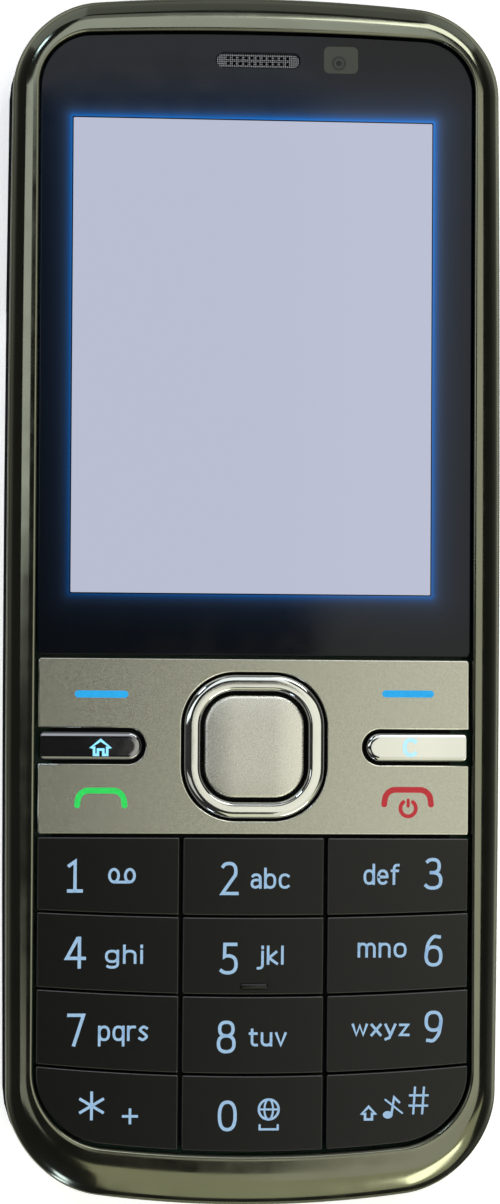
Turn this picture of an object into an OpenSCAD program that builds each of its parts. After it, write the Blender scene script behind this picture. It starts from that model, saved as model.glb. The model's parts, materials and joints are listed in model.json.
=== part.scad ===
// Candybar mobile phone, lying on its back.
// Millimetres. +X is to the right of the keypad, +Y towards the earpiece,
// +Z out of the screen. Origin: centre of the back, on the plane it rests on.

/* [Screen] */
// visible width of the display
display_w = 33.3; // [30:0.1:37]
// visible height of the display
display_h = 44.2; // [40:0.1:50]
// dark margin at each side of the display
window_side = 3.65; // [3:0.05:5]
// dark margin above the display, with the earpiece
display_drop = 8.3; // [7.4:0.1:11]
// dark margin below the display
window_foot = 5.45; // [5:0.05:9]
// thickness of the display window
window_t = 0.88; // [0.7:0.02:0.98]
// length of the earpiece slot
ear_l = 7.75; // [6.5:0.05:8.6]
// height of the earpiece slot
ear_h = 1.3; // [1.1:0.05:1.5]

/* [Front frame] */
// width of the bright frame along the sides
frame_side = 2.7; // [2.4:0.05:3.6]
// width of the frame at the top
frame_top = 3.3; // [2.9:0.05:4]
// width of the frame at the bottom, the chin
chin = 4.66; // [4:0.02:5.4]
// corner radius of the front opening, top
opening_top_r = 4.7; // [4:0.1:5.4]
// corner radius of the front opening, bottom
opening_bottom_r = 6.3; // [5.6:0.1:7.2]
// how far the opening's bottom edge rises at its corners
open_bottom_sag = 1.65; // [1.4:0.05:1.9]

/* [Body] */
// how far the long sides bow out at the middle
side_bow = 0.35; // [0:0.05:0.5]
// how far the top end falls away at its corners
top_sag = 1.5; // [1.2:0.1:1.8]
// how far the bottom end falls away at its corners
bottom_sag = 2.4; // [2.1:0.1:2.8]
// corner radius of the top end
top_corner_r = 7.6; // [6.8:0.1:8.8]
// corner radius of the bottom end
bottom_corner_r = 8.3; // [7.4:0.1:9.4]
// wall thickness of both shells
wall = 1.3; // [1.1:0.05:1.5]

/* [Keypad] */
// height of the field of number keys
keypad_h = 29.2; // [26:0.2:33]
// height of the function key plate
plate_h = 16.2; // [15:0.1:18.5]
// width of the middle column of keys
mid_key_w = 13.12; // [11.6:0.04:14.8]
// gap between neighbouring columns of keys
key_gap = 0.32; // [0.26:0.02:0.4]
// gap between neighbouring rows of keys
row_gap = 0.16; // [0.12:0.02:0.4]
// gap between the keys and the frame
edge_gap = 0.25; // [0.2:0.01:0.32]
// how far a key goes down when pressed
key_travel = 0.35; // [0.25:0.05:0.4]
// corner radius of the number keys
key_corner_r = 0.18; // [0.14:0.02:0.5]
// corner radius of the function key plate
plate_corner_r = 0.3; // [0.2:0.05:0.8]
// fall of a key's top from its upper to its lower edge
key_fall = 0.35; // [0.2:0.05:0.45]

/* [Navigation key] */
// width of the navigation ring
navi_w = 12.92; // [11.6:0.04:14.4]
// height of the navigation ring
navi_h = 13.14; // [11.8:0.02:14.4]
// corner radius of the navigation ring
navi_r = 4.7; // [4.2:0.1:5.4]
// width of the ring's bright band
navi_band = 1.5; // [1.3:0.02:1.7]
// height of the two bar keys beside the ring
bar_key_h = 2.68; // [2.4:0.02:3]
// length of the two bar keys
bar_key_l = 9.5; // [8.4:0.1:10.4]

/* [Back] */
// thickness of the battery cover
cover_t = 0.8; // [0.7:0.05:0.95]
// battery width
battery_w = 34; // [30:0.25:38]
// battery length
battery_l = 53; // [47:0.5:59]
// battery thickness
battery_t = 5.1; // [4.6:0.1:5.8]
// length of the upper part of the back, above the battery cover
upper_l = 29; // [28.6:0.2:33]
// length of the bay below the battery
low_l = 16; // [15.4:0.2:19]
// length of the bottom end, with the aerial
end_l = 11; // [10:0.2:14]
// radius of the rear lens
camera_r = 3.05; // [2.6:0.05:3.4]

/* [Sockets and edge keys] */
// radius of the headset socket's bore
jack_r = 1.8; // [1.76:0.01:2]
// depth of the headset socket's bore
jack_depth = 14; // [12.6:0.1:14.6]
// length of the volume key
volume_l = 14; // [12:0.25:15.5]
// length of the camera key
capture_l = 9; // [8:0.25:10]
// length of the power key
power_l = 9; // [8:0.25:10]
// height of the keys on the edges
edge_key_h = 1.8; // [1.6:0.05:2.1]
// how far the keys on the edges stand out
edge_key_out = 0.1; // [0.05:0.05:0.4]
// length of the memory card door beyond its pin
card_l = 11.2; // [10:0.1:11.6]

/* [Hidden] */
eps = 0.01;
// clearance between pieces that rest on each other
seat = 0.02;
// clearance between pieces that stand beside each other
play = 0.1;
// clearance of a turning fit, on the radius
run = 0.03;
// clearance round the battery
bay_play = 0.3;
// rib between two rooms
rib = 1;

// bay below the battery: card holder beside the motor
sim_w = 27.4;
sim_l = 14.8;
sim_t = 1.88;
card_w = 25.3;
motor_r = 2;
motor_l = 8.2;
shaft_r = 0.4;
low_w = sim_w + 2 * motor_r + 1.6;

// body: as long and as wide as the larger of its front and its back needs
key_lift = 0.05;
front_l = frame_top + display_drop + display_h + window_foot + plate_h + keypad_h
  + 2 * key_gap + key_lift + chin;
back_l = upper_l + battery_l + 2 * bay_play + 2 * (rib + 0.2) + low_l + end_l;
channel_w = 3.4;
front_w = display_w + 2 * (window_side + frame_side);
back_w = max(battery_w, low_w + rib) + 2 * (bay_play + rib + channel_w + wall);
body_l = max(front_l, back_l);
body_w = max(front_w, back_w);
half_w = body_w / 2;
half_l = body_l / 2;
end_w = half_w - side_bow;

// heights, all measured from the back
floor_t = 0.6;
board_t = 0.8;
battery_z = cover_t + 0.15;
z_floor = battery_z + battery_t + play;
z_floor_top = z_floor + floor_t;
z_seam = z_floor_top + 0.7;
z_board = z_seam + 0.55;
z_board_top = z_board + board_t;
z_front = z_board_top + 3.5;
body_t = z_front;
z_key = z_front - 0.35;
z_plate = z_front - 0.45;
z_window = z_front - 0.55;
z_ledge = z_front - 1.45;
z_glue = z_window - window_t - seat;
glue_t = 0.12;
z_display = z_glue - glue_t - 0.12;
z_key_base = z_front - 2.13;
z_mat_top = z_key_base - seat;
z_mat = z_front - 2.55;
mat_t = 0.4;
z_boss = z_key_base - key_travel - 0.25;
edge_gap_key = 0.2;
shelf_t = 0.7;
z_shelf = z_seam - edge_key_h - 2 * edge_gap_key - 0.25;
cover_rim = z_shelf - shelf_t - play;
z_edge = (z_shelf + z_seam) / 2 - 0.15;
back_wall = 1.6;
panel_t = 0.8;

// front opening
open_w = half_w - frame_side;
open_top = half_l - frame_top;
open_bottom = -half_l + chin;
open_top_sag = 0.6;
key_w = open_w - edge_gap;

// keypad
key_bottom = open_bottom + key_lift;
key_top = key_bottom + keypad_h;
row_pitch = keypad_h / 4;
plate_bottom = key_top + key_gap;
plate_top = plate_bottom + plate_h;
navi_y = (plate_top + plate_bottom) / 2;
window_bottom = plate_top + key_gap;
function row_y(i) = key_top - i * row_pitch;
function row_sag(i) = i == 0 ? 0 : 0.25 + 0.235 * i;
col_x = mid_key_w / 2 + key_gap;
key_edge = 0.12;
select_w = navi_w - 2 * navi_band - 2 * key_gap;
select_h = navi_h - 2 * navi_band - 2 * key_gap;
select_r = navi_r - navi_band - key_gap;
bar_out = key_w - 0.15;
bar_in = bar_out - bar_key_l;
seam_w = 0.1;
tilt_room = 0.35;
z_ring = z_key_base + 0.63;

// screen
display_y = open_top - display_drop - display_h / 2;
panel_side = 1.55;
panel_head = 1.8;
panel_foot = 3.8;
panel_w = display_w + 2 * panel_side;
panel_h = display_h + panel_head + panel_foot;
panel_y = display_y + (panel_head - panel_foot) / 2;
frame_w = panel_w / 2 + play + 0.6;
ear_y = open_top - ear_h - 1.3;
ear_box_l = ear_l + 1.85;
ear_box_h = ear_h + 2.1;
lens_x = 8;
lens_box_w = 4.4;
lens_box_h = 3.2;
lens_r = 1.2;

// back, from the top end down
core_in = 3.6;
cover_end = half_l - upper_l;
bay_w = battery_w + 2 * bay_play;
bay_top = cover_end - rib - 0.2;
bay_bottom = bay_top - battery_l - 2 * bay_play;
battery_y = bay_top - bay_play - battery_l / 2;
wall_y = cover_end + rib + 0.3;
low_top = bay_bottom - rib - 0.2;
low_bottom = low_top - low_l;
low_y = (low_top + low_bottom) / 2;
sim_x = (low_w - sim_w) / 2 - 0.4;
motor_x = -low_w / 2 + motor_r + 0.8;
motor_z = z_floor - motor_r - play;
panel_in = 3;
panel_end = cover_end + rib + 0.6;
camera_y = half_l - 17.8;
camera_box = 8.4;
ring_r = camera_r + 1.25;
flash_x = -8.6;
flash_r = 1.4;
speaker_w = 13;
speaker_l = 10.5;
speaker_x = half_w - 10;
speaker_y = half_l - 21;
slot_w = speaker_w - 3;
slot_n = 5;
slot_pitch = 1.4;
channel_x = half_w - wall - channel_w;
tongue_w = 6;
tongue_x = 12;
spring_w = 1.6;
spring_pitch = 5;

// shield cans in the room under the board
can_w = 14;
can_gap = 1;
can_l = [18, 22, 17];

// screws
screw_r = 0.65;
head_r = 1.1;
boss_r = 1.2;
screw_x = max(half_w - wall - 1.5, frame_w + boss_r + play);
screw_ys = [bay_top - 0.6, low_top - 2.2];

// edge keys
in_x = half_w - wall;
in_y = half_l - wall;
volume_y = bay_top - volume_l / 2 - 4.8;
capture_y = low_top + capture_l / 2 + 3.5;
edge_flange = 0.5;
switch_w = 1.4;
switch_l = 3;

// sockets
jack_nose = jack_r + 0.6;
jack_x = 13;
jack_z = z_seam - jack_nose - 0.45;
jack_end = half_l - top_sag * pow(jack_x / end_w, 2) - play;
jack_w = 2 * jack_nose + 1.2;
charger_x = -13;
charger_r = 1.05;
charger_depth = 8;
usb_y = low_y - 1.2;
usb_w = 7.6;
usb_l = 4;
card_y0 = wall_y + 2.3;
card_socket_l = 14.2;
card_pin_r = 0.4;
door_r = 0.7;
door_t = 0.8;
card_pin_x = -half_w + door_r + 0.18;
mic_x = 6;

// a quarter circle of points
function corner(cx, cy, r, a0, n) = [
  for (i = [0 : n]) [cx + r * cos(a0 + 90 * i / n), cy + r * sin(a0 + 90 * i / n)]
];
// points inside a straight edge
function edge(p, q, n) = n < 1 ? [] : [
  for (i = [1 : n]) p + (q - p) * i / (n + 1)
];
// rounded rectangle, radii in the order bottom left, bottom right, top right, top left
function rounded(x0, x1, y0, y1, r, nc, ne, ns) = concat(
  corner(x0 + r[0], y0 + r[0], r[0], 180, nc),
  edge([x0 + r[0], y0], [x1 - r[1], y0], ne),
  corner(x1 - r[1], y0 + r[1], r[1], 270, nc),
  edge([x1, y0 + r[1]], [x1, y1 - r[2]], ns),
  corner(x1 - r[2], y1 - r[2], r[2], 0, nc),
  edge([x1 - r[2], y1], [x0 + r[3], y1], ne),
  corner(x0 + r[3], y1 - r[3], r[3], 90, nc),
  edge([x0, y1 - r[3]], [x0, y0 + r[0]], ns)
);
// bends the two ends by s0 and s1 at the half width w, and bows the sides
function bent(pts, y0, y1, s0, s1, w, bow) = [
  for (p = pts)
    let (k = (p[1] - y0) / (y1 - y0))
    [
      p[0] * (1 + bow / w * (1 - pow(p[1] / half_l, 2))),
      p[1] + (s0 * (1 - k) + s1 * k) * pow(p[0] / w, 2)
    ]
];
// outline of the body, set in by d
function outer(d) = let (rt = top_corner_r - d, rb = bottom_corner_r - d) bent(
  rounded(-end_w + d, end_w - d, -half_l + d, half_l - d, [rb, rb, rt, rt], 8, 6, 4),
  -half_l, half_l, bottom_sag, -top_sag, end_w, side_bow
);
// outline of the front opening, set in by d
function opening(d) = let (rt = opening_top_r - d, rb = opening_bottom_r - d) bent(
  rounded(-open_w + d, open_w - d, open_bottom + d, open_top - d, [rb, rb, rt, rt], 8, 6, 4),
  open_bottom, open_top, open_bottom_sag, -open_top_sag, open_w, 0
);
// the part of the opening that the window fills, set in by d
function window_shape(d, low) = let (rt = opening_top_r - d) bent(
  rounded(-open_w + d, open_w - d, low, open_top - d, [0.5, 0.5, rt, rt], 8, 6, 0),
  low, open_top, 0, -open_top_sag, open_w, 0
);
// outline of the number key in column c and row i, set in by d
function key_shape(c, i, d) =
  let (
    x0 = c < 0 ? -key_w : c > 0 ? col_x : -mid_key_w / 2,
    x1 = c < 0 ? -col_x : c > 0 ? key_w : mid_key_w / 2,
    y0 = i == 3 ? key_bottom + edge_gap - 0.05 : row_y(i + 1) + row_gap / 2,
    y1 = row_y(i) - (i == 0 ? 0 : row_gap / 2),
    s0 = i == 3 ? open_bottom_sag : row_sag(i + 1),
    s1 = row_sag(i),
    r = key_corner_r - d,
    big = opening_bottom_r - edge_gap - d,
    rl = i == 3 && c < 0 ? big : r,
    rr = i == 3 && c > 0 ? big : r
  )
  bent(
    rounded(x0 + d, x1 - d, y0 + d, y1 - d, [rl, rr, r, r], 6, 4, 0),
    y0, y1, s0, s1, key_w, 0
  );
// navigation ring, select key and their gaps are rounded squares about one centre
function navi_shape(w, h, r, d) = [
  for (p = rounded(-w / 2 + d, w / 2 - d, -h / 2 + d, h / 2 - d,
    [r - d, r - d, r - d, r - d], 8, 0, 0))
    [p[0], p[1] + navi_y]
];
function bar_shape(d) = rounded(
  bar_in + d, bar_out - d, navi_y - bar_key_h / 2 + d, navi_y + bar_key_h / 2 - d,
  [bar_key_h / 2 - d - eps, 0.5 - d, 0.5 - d, bar_key_h / 2 - d - eps], 6, 0, 0
);
function blend(a, b, t) = [for (i = [0 : len(a) - 1]) a[i] * (1 - t) + b[i] * t];
function at(pts, z) = [for (p = pts) [p[0], p[1], z]];
// points on a plane that falls by f per millimetre below y1
function on_slope(pts, z, y1, f) = [for (p = pts) [p[0], p[1], z - f * (y1 - p[1])]];

// skins a stack of equal outlines, or a closed loop of them
module skin(rings, loop = false) {
  n = len(rings[0]);
  m = len(rings);
  last = loop ? m - 1 : m - 2;
  pts = [for (r = rings) each r];
  sides = [
    for (i = [0 : last], j = [0 : n - 1], k = [0, 1])
      let (
        a = i * n + j,
        b = i * n + (j + 1) % n,
        c = ((i + 1) % m) * n + (j + 1) % n,
        d = ((i + 1) % m) * n + j
      )
      k == 0 ? [a, d, c] : [a, c, b]
  ];
  low = [for (j = [0 : n - 1]) j];
  high = [for (j = [0 : n - 1]) m * n - 1 - j];
  polyhedron(points = pts, faces = loop ? sides : concat(sides, [low, high]), convexity = 8);
}
// a straight prism on an outline
module prism(pts, z0, z1) {
  translate([0, 0, z0]) linear_extrude(z1 - z0) polygon(pts);
}
// a block centred on x and y
module block(x, y, w, l, z0, z1) {
  translate([x - w / 2, y - l / 2, z0]) cube([w, l, z1 - z0]);
}
// a block with rounded upright edges
module soft_block(x, y, w, l, r, z0, z1) {
  prism(rounded(x - w / 2, x + w / 2, y - l / 2, y + l / 2, [r, r, r, r], 4, 0, 0), z0, z1);
}
module rod(x, y, r, z0, z1) {
  translate([x, y, z0]) cylinder(r = r, h = z1 - z0, $fn = 48);
}
module rod_y(x, z, r, y0, y1) {
  translate([x, y0, z]) rotate([-90, 0, 0]) cylinder(r = r, h = y1 - y0, $fn = 48);
}
// everything above or below a line across the body
module above(y) {
  translate([-body_w, y, -1]) cube([2 * body_w, body_l, body_t + 2]);
}
module below(y) {
  translate([-body_w, y - body_l, -1]) cube([2 * body_w, body_l, body_t + 2]);
}
module mirrored() {
  children();
  mirror([1, 0, 0]) children();
}
module at_screws() {
  for (y = screw_ys, s = [-1, 1]) translate([s * screw_x, y, 0]) children();
}

// Front

// share of the way from the outline to the opening, and depth below the crest
frame_profile = [
  [0, -2.75], [0.03, -1.95], [0.11, -1.15], [0.25, -0.52], [0.45, -0.13], [0.66, 0],
  [0.84, -0.07], [0.95, -0.2], [1, -0.4]
];
module front_cover() color([0.3, 0.3, 0.28]) {
  o = outer(0);
  p = opening(0);
  difference() {
    union() {
      skin(concat(
        [at(outer(0.15), z_seam), at(o, z_seam + 0.15)],
        [for (f = frame_profile) at(blend(o, p, f[0]), z_front + f[1])],
        [at(p, z_ledge), at(outer(wall), z_ledge), at(outer(wall), z_seam)]
      ), loop = true);
      for (y = screw_ys) mirrored() {
        rod(screw_x, y, boss_r - 0.05, z_board_top + seat, z_boss);
        translate([screw_x, y - 0.9, z_board_top + seat])
          cube([half_w - wall / 2 - screw_x, 1.8, z_boss - z_board_top - seat]);
      }
    }
    at_screws() rod(0, 0, screw_r + seat, z_board_top - 1, z_boss - 0.15);
    rod_y(mic_x, z_board_top + 0.45, 0.4, -half_l - 1, -in_y + 1.5);
  }
}
module display_window() color([0.02, 0.02, 0.03]) difference() {
  prism(window_shape(0.15, window_bottom), z_window - window_t, z_window);
  soft_block(0, ear_y, ear_l, ear_h, ear_h / 2 - eps, z_window - 2, z_window + 1);
}
module window_adhesive() color([0.05, 0.05, 0.05]) difference() {
  prism(window_shape(0.6, window_bottom + 0.4), z_glue - glue_t, z_glue);
  block(0, display_y, display_w + 1, display_h + 1, z_glue - 1, z_glue + 1);
  block(0, ear_y, ear_l + 0.6, ear_h + 0.6, z_glue - 1, z_glue + 1);
  block(lens_x, ear_y, 2 * lens_r + 1, 2 * lens_r + 0.3, z_glue - 1, z_glue + 1);
}
// woven strip in the earpiece slot
module earpiece_mesh() color([0.5, 0.5, 0.52]) difference() {
  soft_block(0, ear_y, ear_l - 2 * seat, ear_h - 2 * seat, ear_h / 2 - 2 * seat,
    z_glue, z_window - 0.2);
  for (i = [-5 : 5], s = [-1, 1])
    block(i * ear_l / 14, ear_y + s * ear_h / 5, ear_l / 26, ear_h / 4.3, z_glue - 1, z_window);
}
module front_camera() color([0.08, 0.08, 0.09]) {
  block(lens_x, ear_y, lens_box_w, lens_box_h, z_board_top + seat, z_display - 0.5);
  rod(lens_x, ear_y, lens_r, z_display - 0.6, z_glue - seat);
}
module display_panel() color([0.73, 0.75, 0.83]) {
  soft_block(0, panel_y, panel_w, panel_h, 0.5, z_board_top + play, z_display - 0.15);
  block(0, display_y, display_w + 0.8, display_h + 0.8, z_display - 0.2, z_display + 0.06);
}
// carrier that holds the display, earpiece and lens under the window
module display_frame() color([0.12, 0.12, 0.13]) difference() {
  intersection() {
    prism(window_shape(0.6, window_bottom + 0.4), z_board_top + seat, z_glue - glue_t - seat);
    block(0, 0, 2 * frame_w, body_l, 0, body_t);
  }
  block(0, panel_y, panel_w + 2 * play, panel_h + 2 * play, 0, body_t);
  block(0, ear_y, ear_box_l + 2 * play, ear_box_h + 2 * play, 0, body_t);
  block(lens_x, ear_y, lens_box_w + 2 * play, lens_box_h + 2 * play, 0, body_t);
}
module earpiece_speaker() color([0.2, 0.2, 0.2]) {
  soft_block(0, ear_y, ear_box_l, ear_box_h, 0.6, z_board_top + seat, z_glue - glue_t - 0.3);
  block(0, ear_y, ear_l - 1, ear_h - 0.4, z_glue - glue_t - 0.4, z_glue - seat);
}

// Function keys and navigation

// left half of the function plate: upper and lower key on one rocker
module function_half() {
  hole = navi_shape(navi_w + 2 * key_gap, navi_h + 2 * key_gap, navi_r + key_gap, 0);
  slot_h = bar_key_h + 2 * key_gap;
  translate([0, 0, z_key_base]) linear_extrude(z_plate - z_key_base) difference() {
    polygon(rounded(seam_w / 2, key_w, plate_bottom, plate_top,
      [0.05, plate_corner_r, plate_corner_r, 0.05], 4, 0, 0));
    polygon(hole);
    translate([bar_in + bar_key_h / 2, navi_y]) circle(d = slot_h, $fn = 48);
    translate([bar_in + bar_key_h / 2, navi_y - slot_h / 2]) square([body_w, slot_h]);
  }
}
module right_function_key() color([0.65, 0.64, 0.57]) function_half();
module left_function_key() color([0.65, 0.64, 0.57]) mirror([1, 0, 0]) function_half();
module bar_key() {
  skin([
    at(bar_shape(0), z_key_base), at(bar_shape(0), z_plate - 0.2),
    at(bar_shape(0.1), z_plate), at(bar_shape(0.35), z_plate + 0.1)
  ]);
}
module clear_key() color([0.75, 0.75, 0.75]) bar_key();
module home_key() color([0.25, 0.25, 0.26]) mirror([1, 0, 0]) bar_key();
// tilting frame under the ring, with the ring's two side bearings
module navi_base() color([0.1, 0.1, 0.1]) {
  difference() {
    prism(navi_shape(navi_w, navi_h, navi_r, 0.2), z_key_base + seat, z_ring - tilt_room);
    prism(navi_shape(navi_w, navi_h, navi_r, navi_band + 0.05), 0, body_t);
  }
  for (s = [-1, 1])
    rod(s * (navi_w - navi_band) / 2, navi_y, 0.45, z_ring - tilt_room - 0.1, z_ring - seat);
}
// inset and height above the ring's underside
ring_profile = [
  [0, 0], [0, 0.35], [0.05, 0.8], [0.2, 1.13], [0.45, 1.34], [0.75, 1.4],
  [1.05, 1.3], [1.3, 1.02], [1.45, 0.6], [1.5, 0]
];
module navi_ring() color([0.7, 0.7, 0.7]) skin([
  for (f = ring_profile)
    at(navi_shape(navi_w, navi_h, navi_r, f[0] * navi_band / 1.5), z_ring + f[1])
], loop = true);
module select_key() color([0.65, 0.64, 0.57]) skin([
  at(navi_shape(select_w, select_h, select_r, 0), z_key_base),
  at(navi_shape(select_w, select_h, select_r, 0), z_plate - 0.25),
  at(navi_shape(select_w, select_h, select_r, 0.12), z_plate - 0.02),
  at(navi_shape(select_w, select_h, select_r, 0.5), z_plate + 0.12)
]);

// Number keys

module number_key(c, i) {
  y1 = row_y(i);
  f = key_fall / row_pitch;
  color([0.16, 0.16, 0.15]) skin([
    at(key_shape(c, i, 0), z_key_base),
    on_slope(key_shape(c, i, 0), z_key - key_edge, y1, f),
    on_slope(key_shape(c, i, key_edge * 0.35), z_key - key_edge * 0.3, y1, f),
    on_slope(key_shape(c, i, key_edge), z_key, y1, f)
  ]);
}
module key_1() number_key(-1, 0);
module key_2() number_key(0, 0);
module key_3() number_key(1, 0);
module key_4() number_key(-1, 1);
module key_5() number_key(0, 1);
module key_6() number_key(1, 1);
module key_7() number_key(-1, 2);
module key_8() number_key(0, 2);
module key_9() number_key(1, 2);
module key_star() number_key(-1, 3);
module key_0() number_key(0, 3);
module key_hash() number_key(1, 3);

// Switch layer

side_pad_x = (col_x + key_w) / 2 - 0.9;
plate_pad_x = (bar_in + bar_out) / 2;
plate_pad_y = plate_h / 2 - 2.9;
mat_w = 2 * (screw_x - boss_r - 0.4);
navi_pad = (navi_w - navi_band) / 2;
// switch positions: number keys, function keys, bar keys, navigation
key_points = [
  for (i = [0 : 3], c = [-1 : 1]) [c * side_pad_x, row_y(i) - row_pitch / 2]
];
plate_points = [
  for (s = [-1, 1], t = [-1, 0, 1]) [s * plate_pad_x, navi_y + t * plate_pad_y]
];
navi_points = [
  [0, navi_y], [navi_pad, navi_y], [-navi_pad, navi_y],
  [0, navi_y + navi_pad], [0, navi_y - navi_pad]
];
module keymat() color([0.2, 0.2, 0.2]) {
  top = plate_top - 0.5;
  low = key_bottom + 1.2;
  prism(rounded(-mat_w / 2, mat_w / 2, low, top, [5, 5, 1, 1], 6, 0, 0), z_mat - mat_t, z_mat);
  for (p = key_points)
    block(p[0], p[1], p[0] == 0 ? 10.6 : 9, row_pitch - 2.6, z_mat - eps, z_mat_top);
  for (s = [-1, 1], t = [-1, 1])
    block(s * plate_pad_x, navi_y + t * plate_pad_y, 8, 3.4, z_mat - eps, z_mat_top);
  for (s = [-1, 1]) {
    block(s * plate_pad_x, navi_y, 7, bar_key_h - 0.9, z_mat - eps, z_mat_top);
    block(s * (navi_w / 2 + key_gap + 1.2), navi_y, 1.4, 0.8, z_mat - eps, z_mat_top);
  }
  block(0, navi_y, 5, 5, z_mat - eps, z_mat_top);
  for (s = [-1, 1]) block(0, navi_y + s * navi_pad, 0.8, 0.9, z_mat - eps, z_mat_top);
  for (p = concat(key_points, plate_points, navi_points))
    rod(p[0], p[1], 0.9, z_board_top + 0.28, z_mat - mat_t + eps);
}
module key_domes() color([0.75, 0.75, 0.72]) {
  for (p = concat(key_points, plate_points, navi_points))
    translate([p[0], p[1], z_board_top + seat])
      cylinder(r1 = 1.9, r2 = 1, h = 0.22, $fn = 48);
}

// Electronics

module main_board() color([0.1, 0.3, 0.2]) difference() {
  prism(outer(wall + 0.7), z_board, z_board_top);
  at_screws() rod(0, 0, screw_r + 0.2, 0, body_t);
}
module shield_cans() color([0.75, 0.75, 0.76]) {
  z0 = z_floor_top + 0.05;
  z1 = z_board - seat;
  x = (can_w + can_gap) / 2;
  soft_block(-x, bay_top - 2 - can_l[0] / 2, can_w, can_l[0], 0.6, z0, z1);
  soft_block(x, bay_top - 2 - can_l[1] / 2, can_w, can_l[1], 0.6, z0, z1);
  soft_block(0, bay_top - 4 - can_l[1] - can_l[2] / 2, 1.6 * can_w, can_l[2], 0.6, z0, z1);
}
module microphone() color([0.7, 0.6, 0.3]) {
  block(mic_x, -in_y + 1.9, 3.6, 1.6, z_board_top + seat, z_board_top + 1);
}
// a switch under the board, with its plunger towards +X
module edge_switch(back, front) {
  block(back + switch_w / 2, 0, switch_w, switch_l, z_edge - 0.7, z_board - seat);
  block((back + switch_w + front) / 2 - eps, 0, front - back - switch_w + 2 * eps, 1.4,
    z_edge - 0.6, z_edge + 0.6);
}
module edge_switches() color([0.7, 0.7, 0.7]) {
  for (s = [-1, 1]) translate([0, volume_y + s * volume_l / 3, 0])
    edge_switch(in_x - 3, in_x - 1.4);
  translate([0, capture_y, 0]) edge_switch(in_x - 2.9, in_x - key_travel - 0.85);
  rotate([0, 0, 90]) edge_switch(in_y - 2.9, in_y - key_travel - 0.85);
}

// Back

shell_profile = [[2.6, 0], [1.35, 0.45], [0.62, 1.2], [0.16, 2.3], [0, 3.5]];
module rear_housing() color([0.07, 0.07, 0.08]) difference() {
  union() {
    difference() {
      skin(concat(
        [for (f = shell_profile) at(outer(f[0]), f[1])],
        [at(outer(0), z_seam - 0.15 - seat), at(outer(0.15), z_seam - seat)]
      ));
      // room for the battery cover, around the battery bay
      difference() {
        translate([-body_w, -body_l, -1])
          cube([2 * body_w, body_l + cover_end + play / 2, 1 + cover_rim + play]);
        prism(outer(core_in), cover_t + 0.2, cover_rim + 1);
      }
      // room for the board
      prism(outer(wall), z_floor_top, body_t);
      // channels along both sides
      difference() {
        prism(outer(wall), z_shelf, body_t);
        block(0, 0, 2 * channel_x, body_l, 0, body_t);
        below(low_bottom);
      }
      // upper room
      intersection() {
        prism(outer(wall), back_wall, body_t);
        above(wall_y);
      }
    }
    at_screws() rod(0, 0, boss_r, z_shelf - 0.1, z_board - seat);
  }
  // battery, card and antenna bays, open to the back
  block(0, (bay_top + bay_bottom) / 2, bay_w, bay_top - bay_bottom, -1, z_floor);
  block(0, low_y, low_w, low_l, -1, z_floor);
  intersection() {
    prism(outer(core_in + 1), -1, z_floor - 0.15);
    below(low_bottom - rib);
  }
  // pockets for the battery springs and the cover's tongues
  for (i = [-1 : 1]) block(i * spring_pitch, bay_top, spring_w + 0.4, 1.8, 2, z_floor);
  for (s = [-1, 1])
    block(s * tongue_x, cover_end, tongue_w + 0.4, 2.4, cover_t / 2 - play, cover_t + play);
  // panel, lens, light and loudspeaker
  intersection() {
    prism(outer(panel_in), -1, panel_t);
    above(panel_end);
  }
  rod(0, camera_y, ring_r - 0.5, -1, back_wall + 1);
  rod(flash_x, camera_y, flash_r + 0.2, -1, back_wall + 1);
  block(speaker_x, speaker_y, slot_w + 1, slot_n * slot_pitch, -1, back_wall + 1);
  // screws
  at_screws() {
    rod(0, 0, screw_r + 0.08, 0, body_t);
    rod(0, 0, head_r + play, 0, z_shelf - 0.2);
  }
  // edge keys
  block(half_w, volume_y, 2 * wall + 2, volume_l + 2 * edge_gap_key,
    z_edge - edge_key_h / 2 - edge_gap_key, z_edge + edge_key_h / 2 + edge_gap_key);
  block(half_w, capture_y, 2 * wall + 2, capture_l + 2 * edge_gap_key,
    z_edge - edge_key_h / 2 - edge_gap_key, z_edge + edge_key_h / 2 + edge_gap_key);
  block(0, half_l, power_l + 2 * edge_gap_key, 2 * wall + 2,
    z_edge - edge_key_h / 2 - edge_gap_key, z_edge + edge_key_h / 2 + edge_gap_key);
  // sockets
  rod_y(jack_x, jack_z, jack_nose + 0.05, in_y - 4, half_l + 1);
  rod_y(charger_x, jack_z, charger_r + 0.65, in_y - 4, half_l + 1);
  block(-half_w, usb_y, 2 * wall + 2, usb_w - 0.6, z_edge - 0.85, z_edge + 0.85);
  block(-half_w + wall + usb_l, usb_y, 1.6, usb_w + 0.6, z_shelf, body_t);
  // memory card slot with its door and pin
  translate([-half_w - 1, card_y0 - door_r - 0.2, z_edge - edge_key_h / 2 - play])
    cube([wall + 2, card_l + door_r + 0.35, edge_key_h + 2 * play]);
  rod(card_pin_x, card_y0, card_pin_r + seat, z_edge - edge_key_h / 2 - 0.5,
    z_edge + edge_key_h / 2 + 0.3);
}
module camera_panel() color([0.03, 0.03, 0.04]) difference() {
  intersection() {
    prism(outer(panel_in + 0.06), play, panel_t - seat);
    above(panel_end + 0.06);
  }
  rod(0, camera_y, ring_r + seat, -1, 2);
  rod(flash_x, camera_y, flash_r + seat, -1, 2);
  for (i = [0 : slot_n - 1])
    soft_block(speaker_x, speaker_y + (i - (slot_n - 1) / 2) * slot_pitch, slot_w, slot_pitch / 2,
      slot_pitch / 4 - eps, -1, 2);
}
module camera_ring() color([0.8, 0.8, 0.8]) difference() {
  rod(0, camera_y, ring_r, 0.03, panel_t - seat);
  rod(0, camera_y, camera_r + seat, -1, 2);
}
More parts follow.
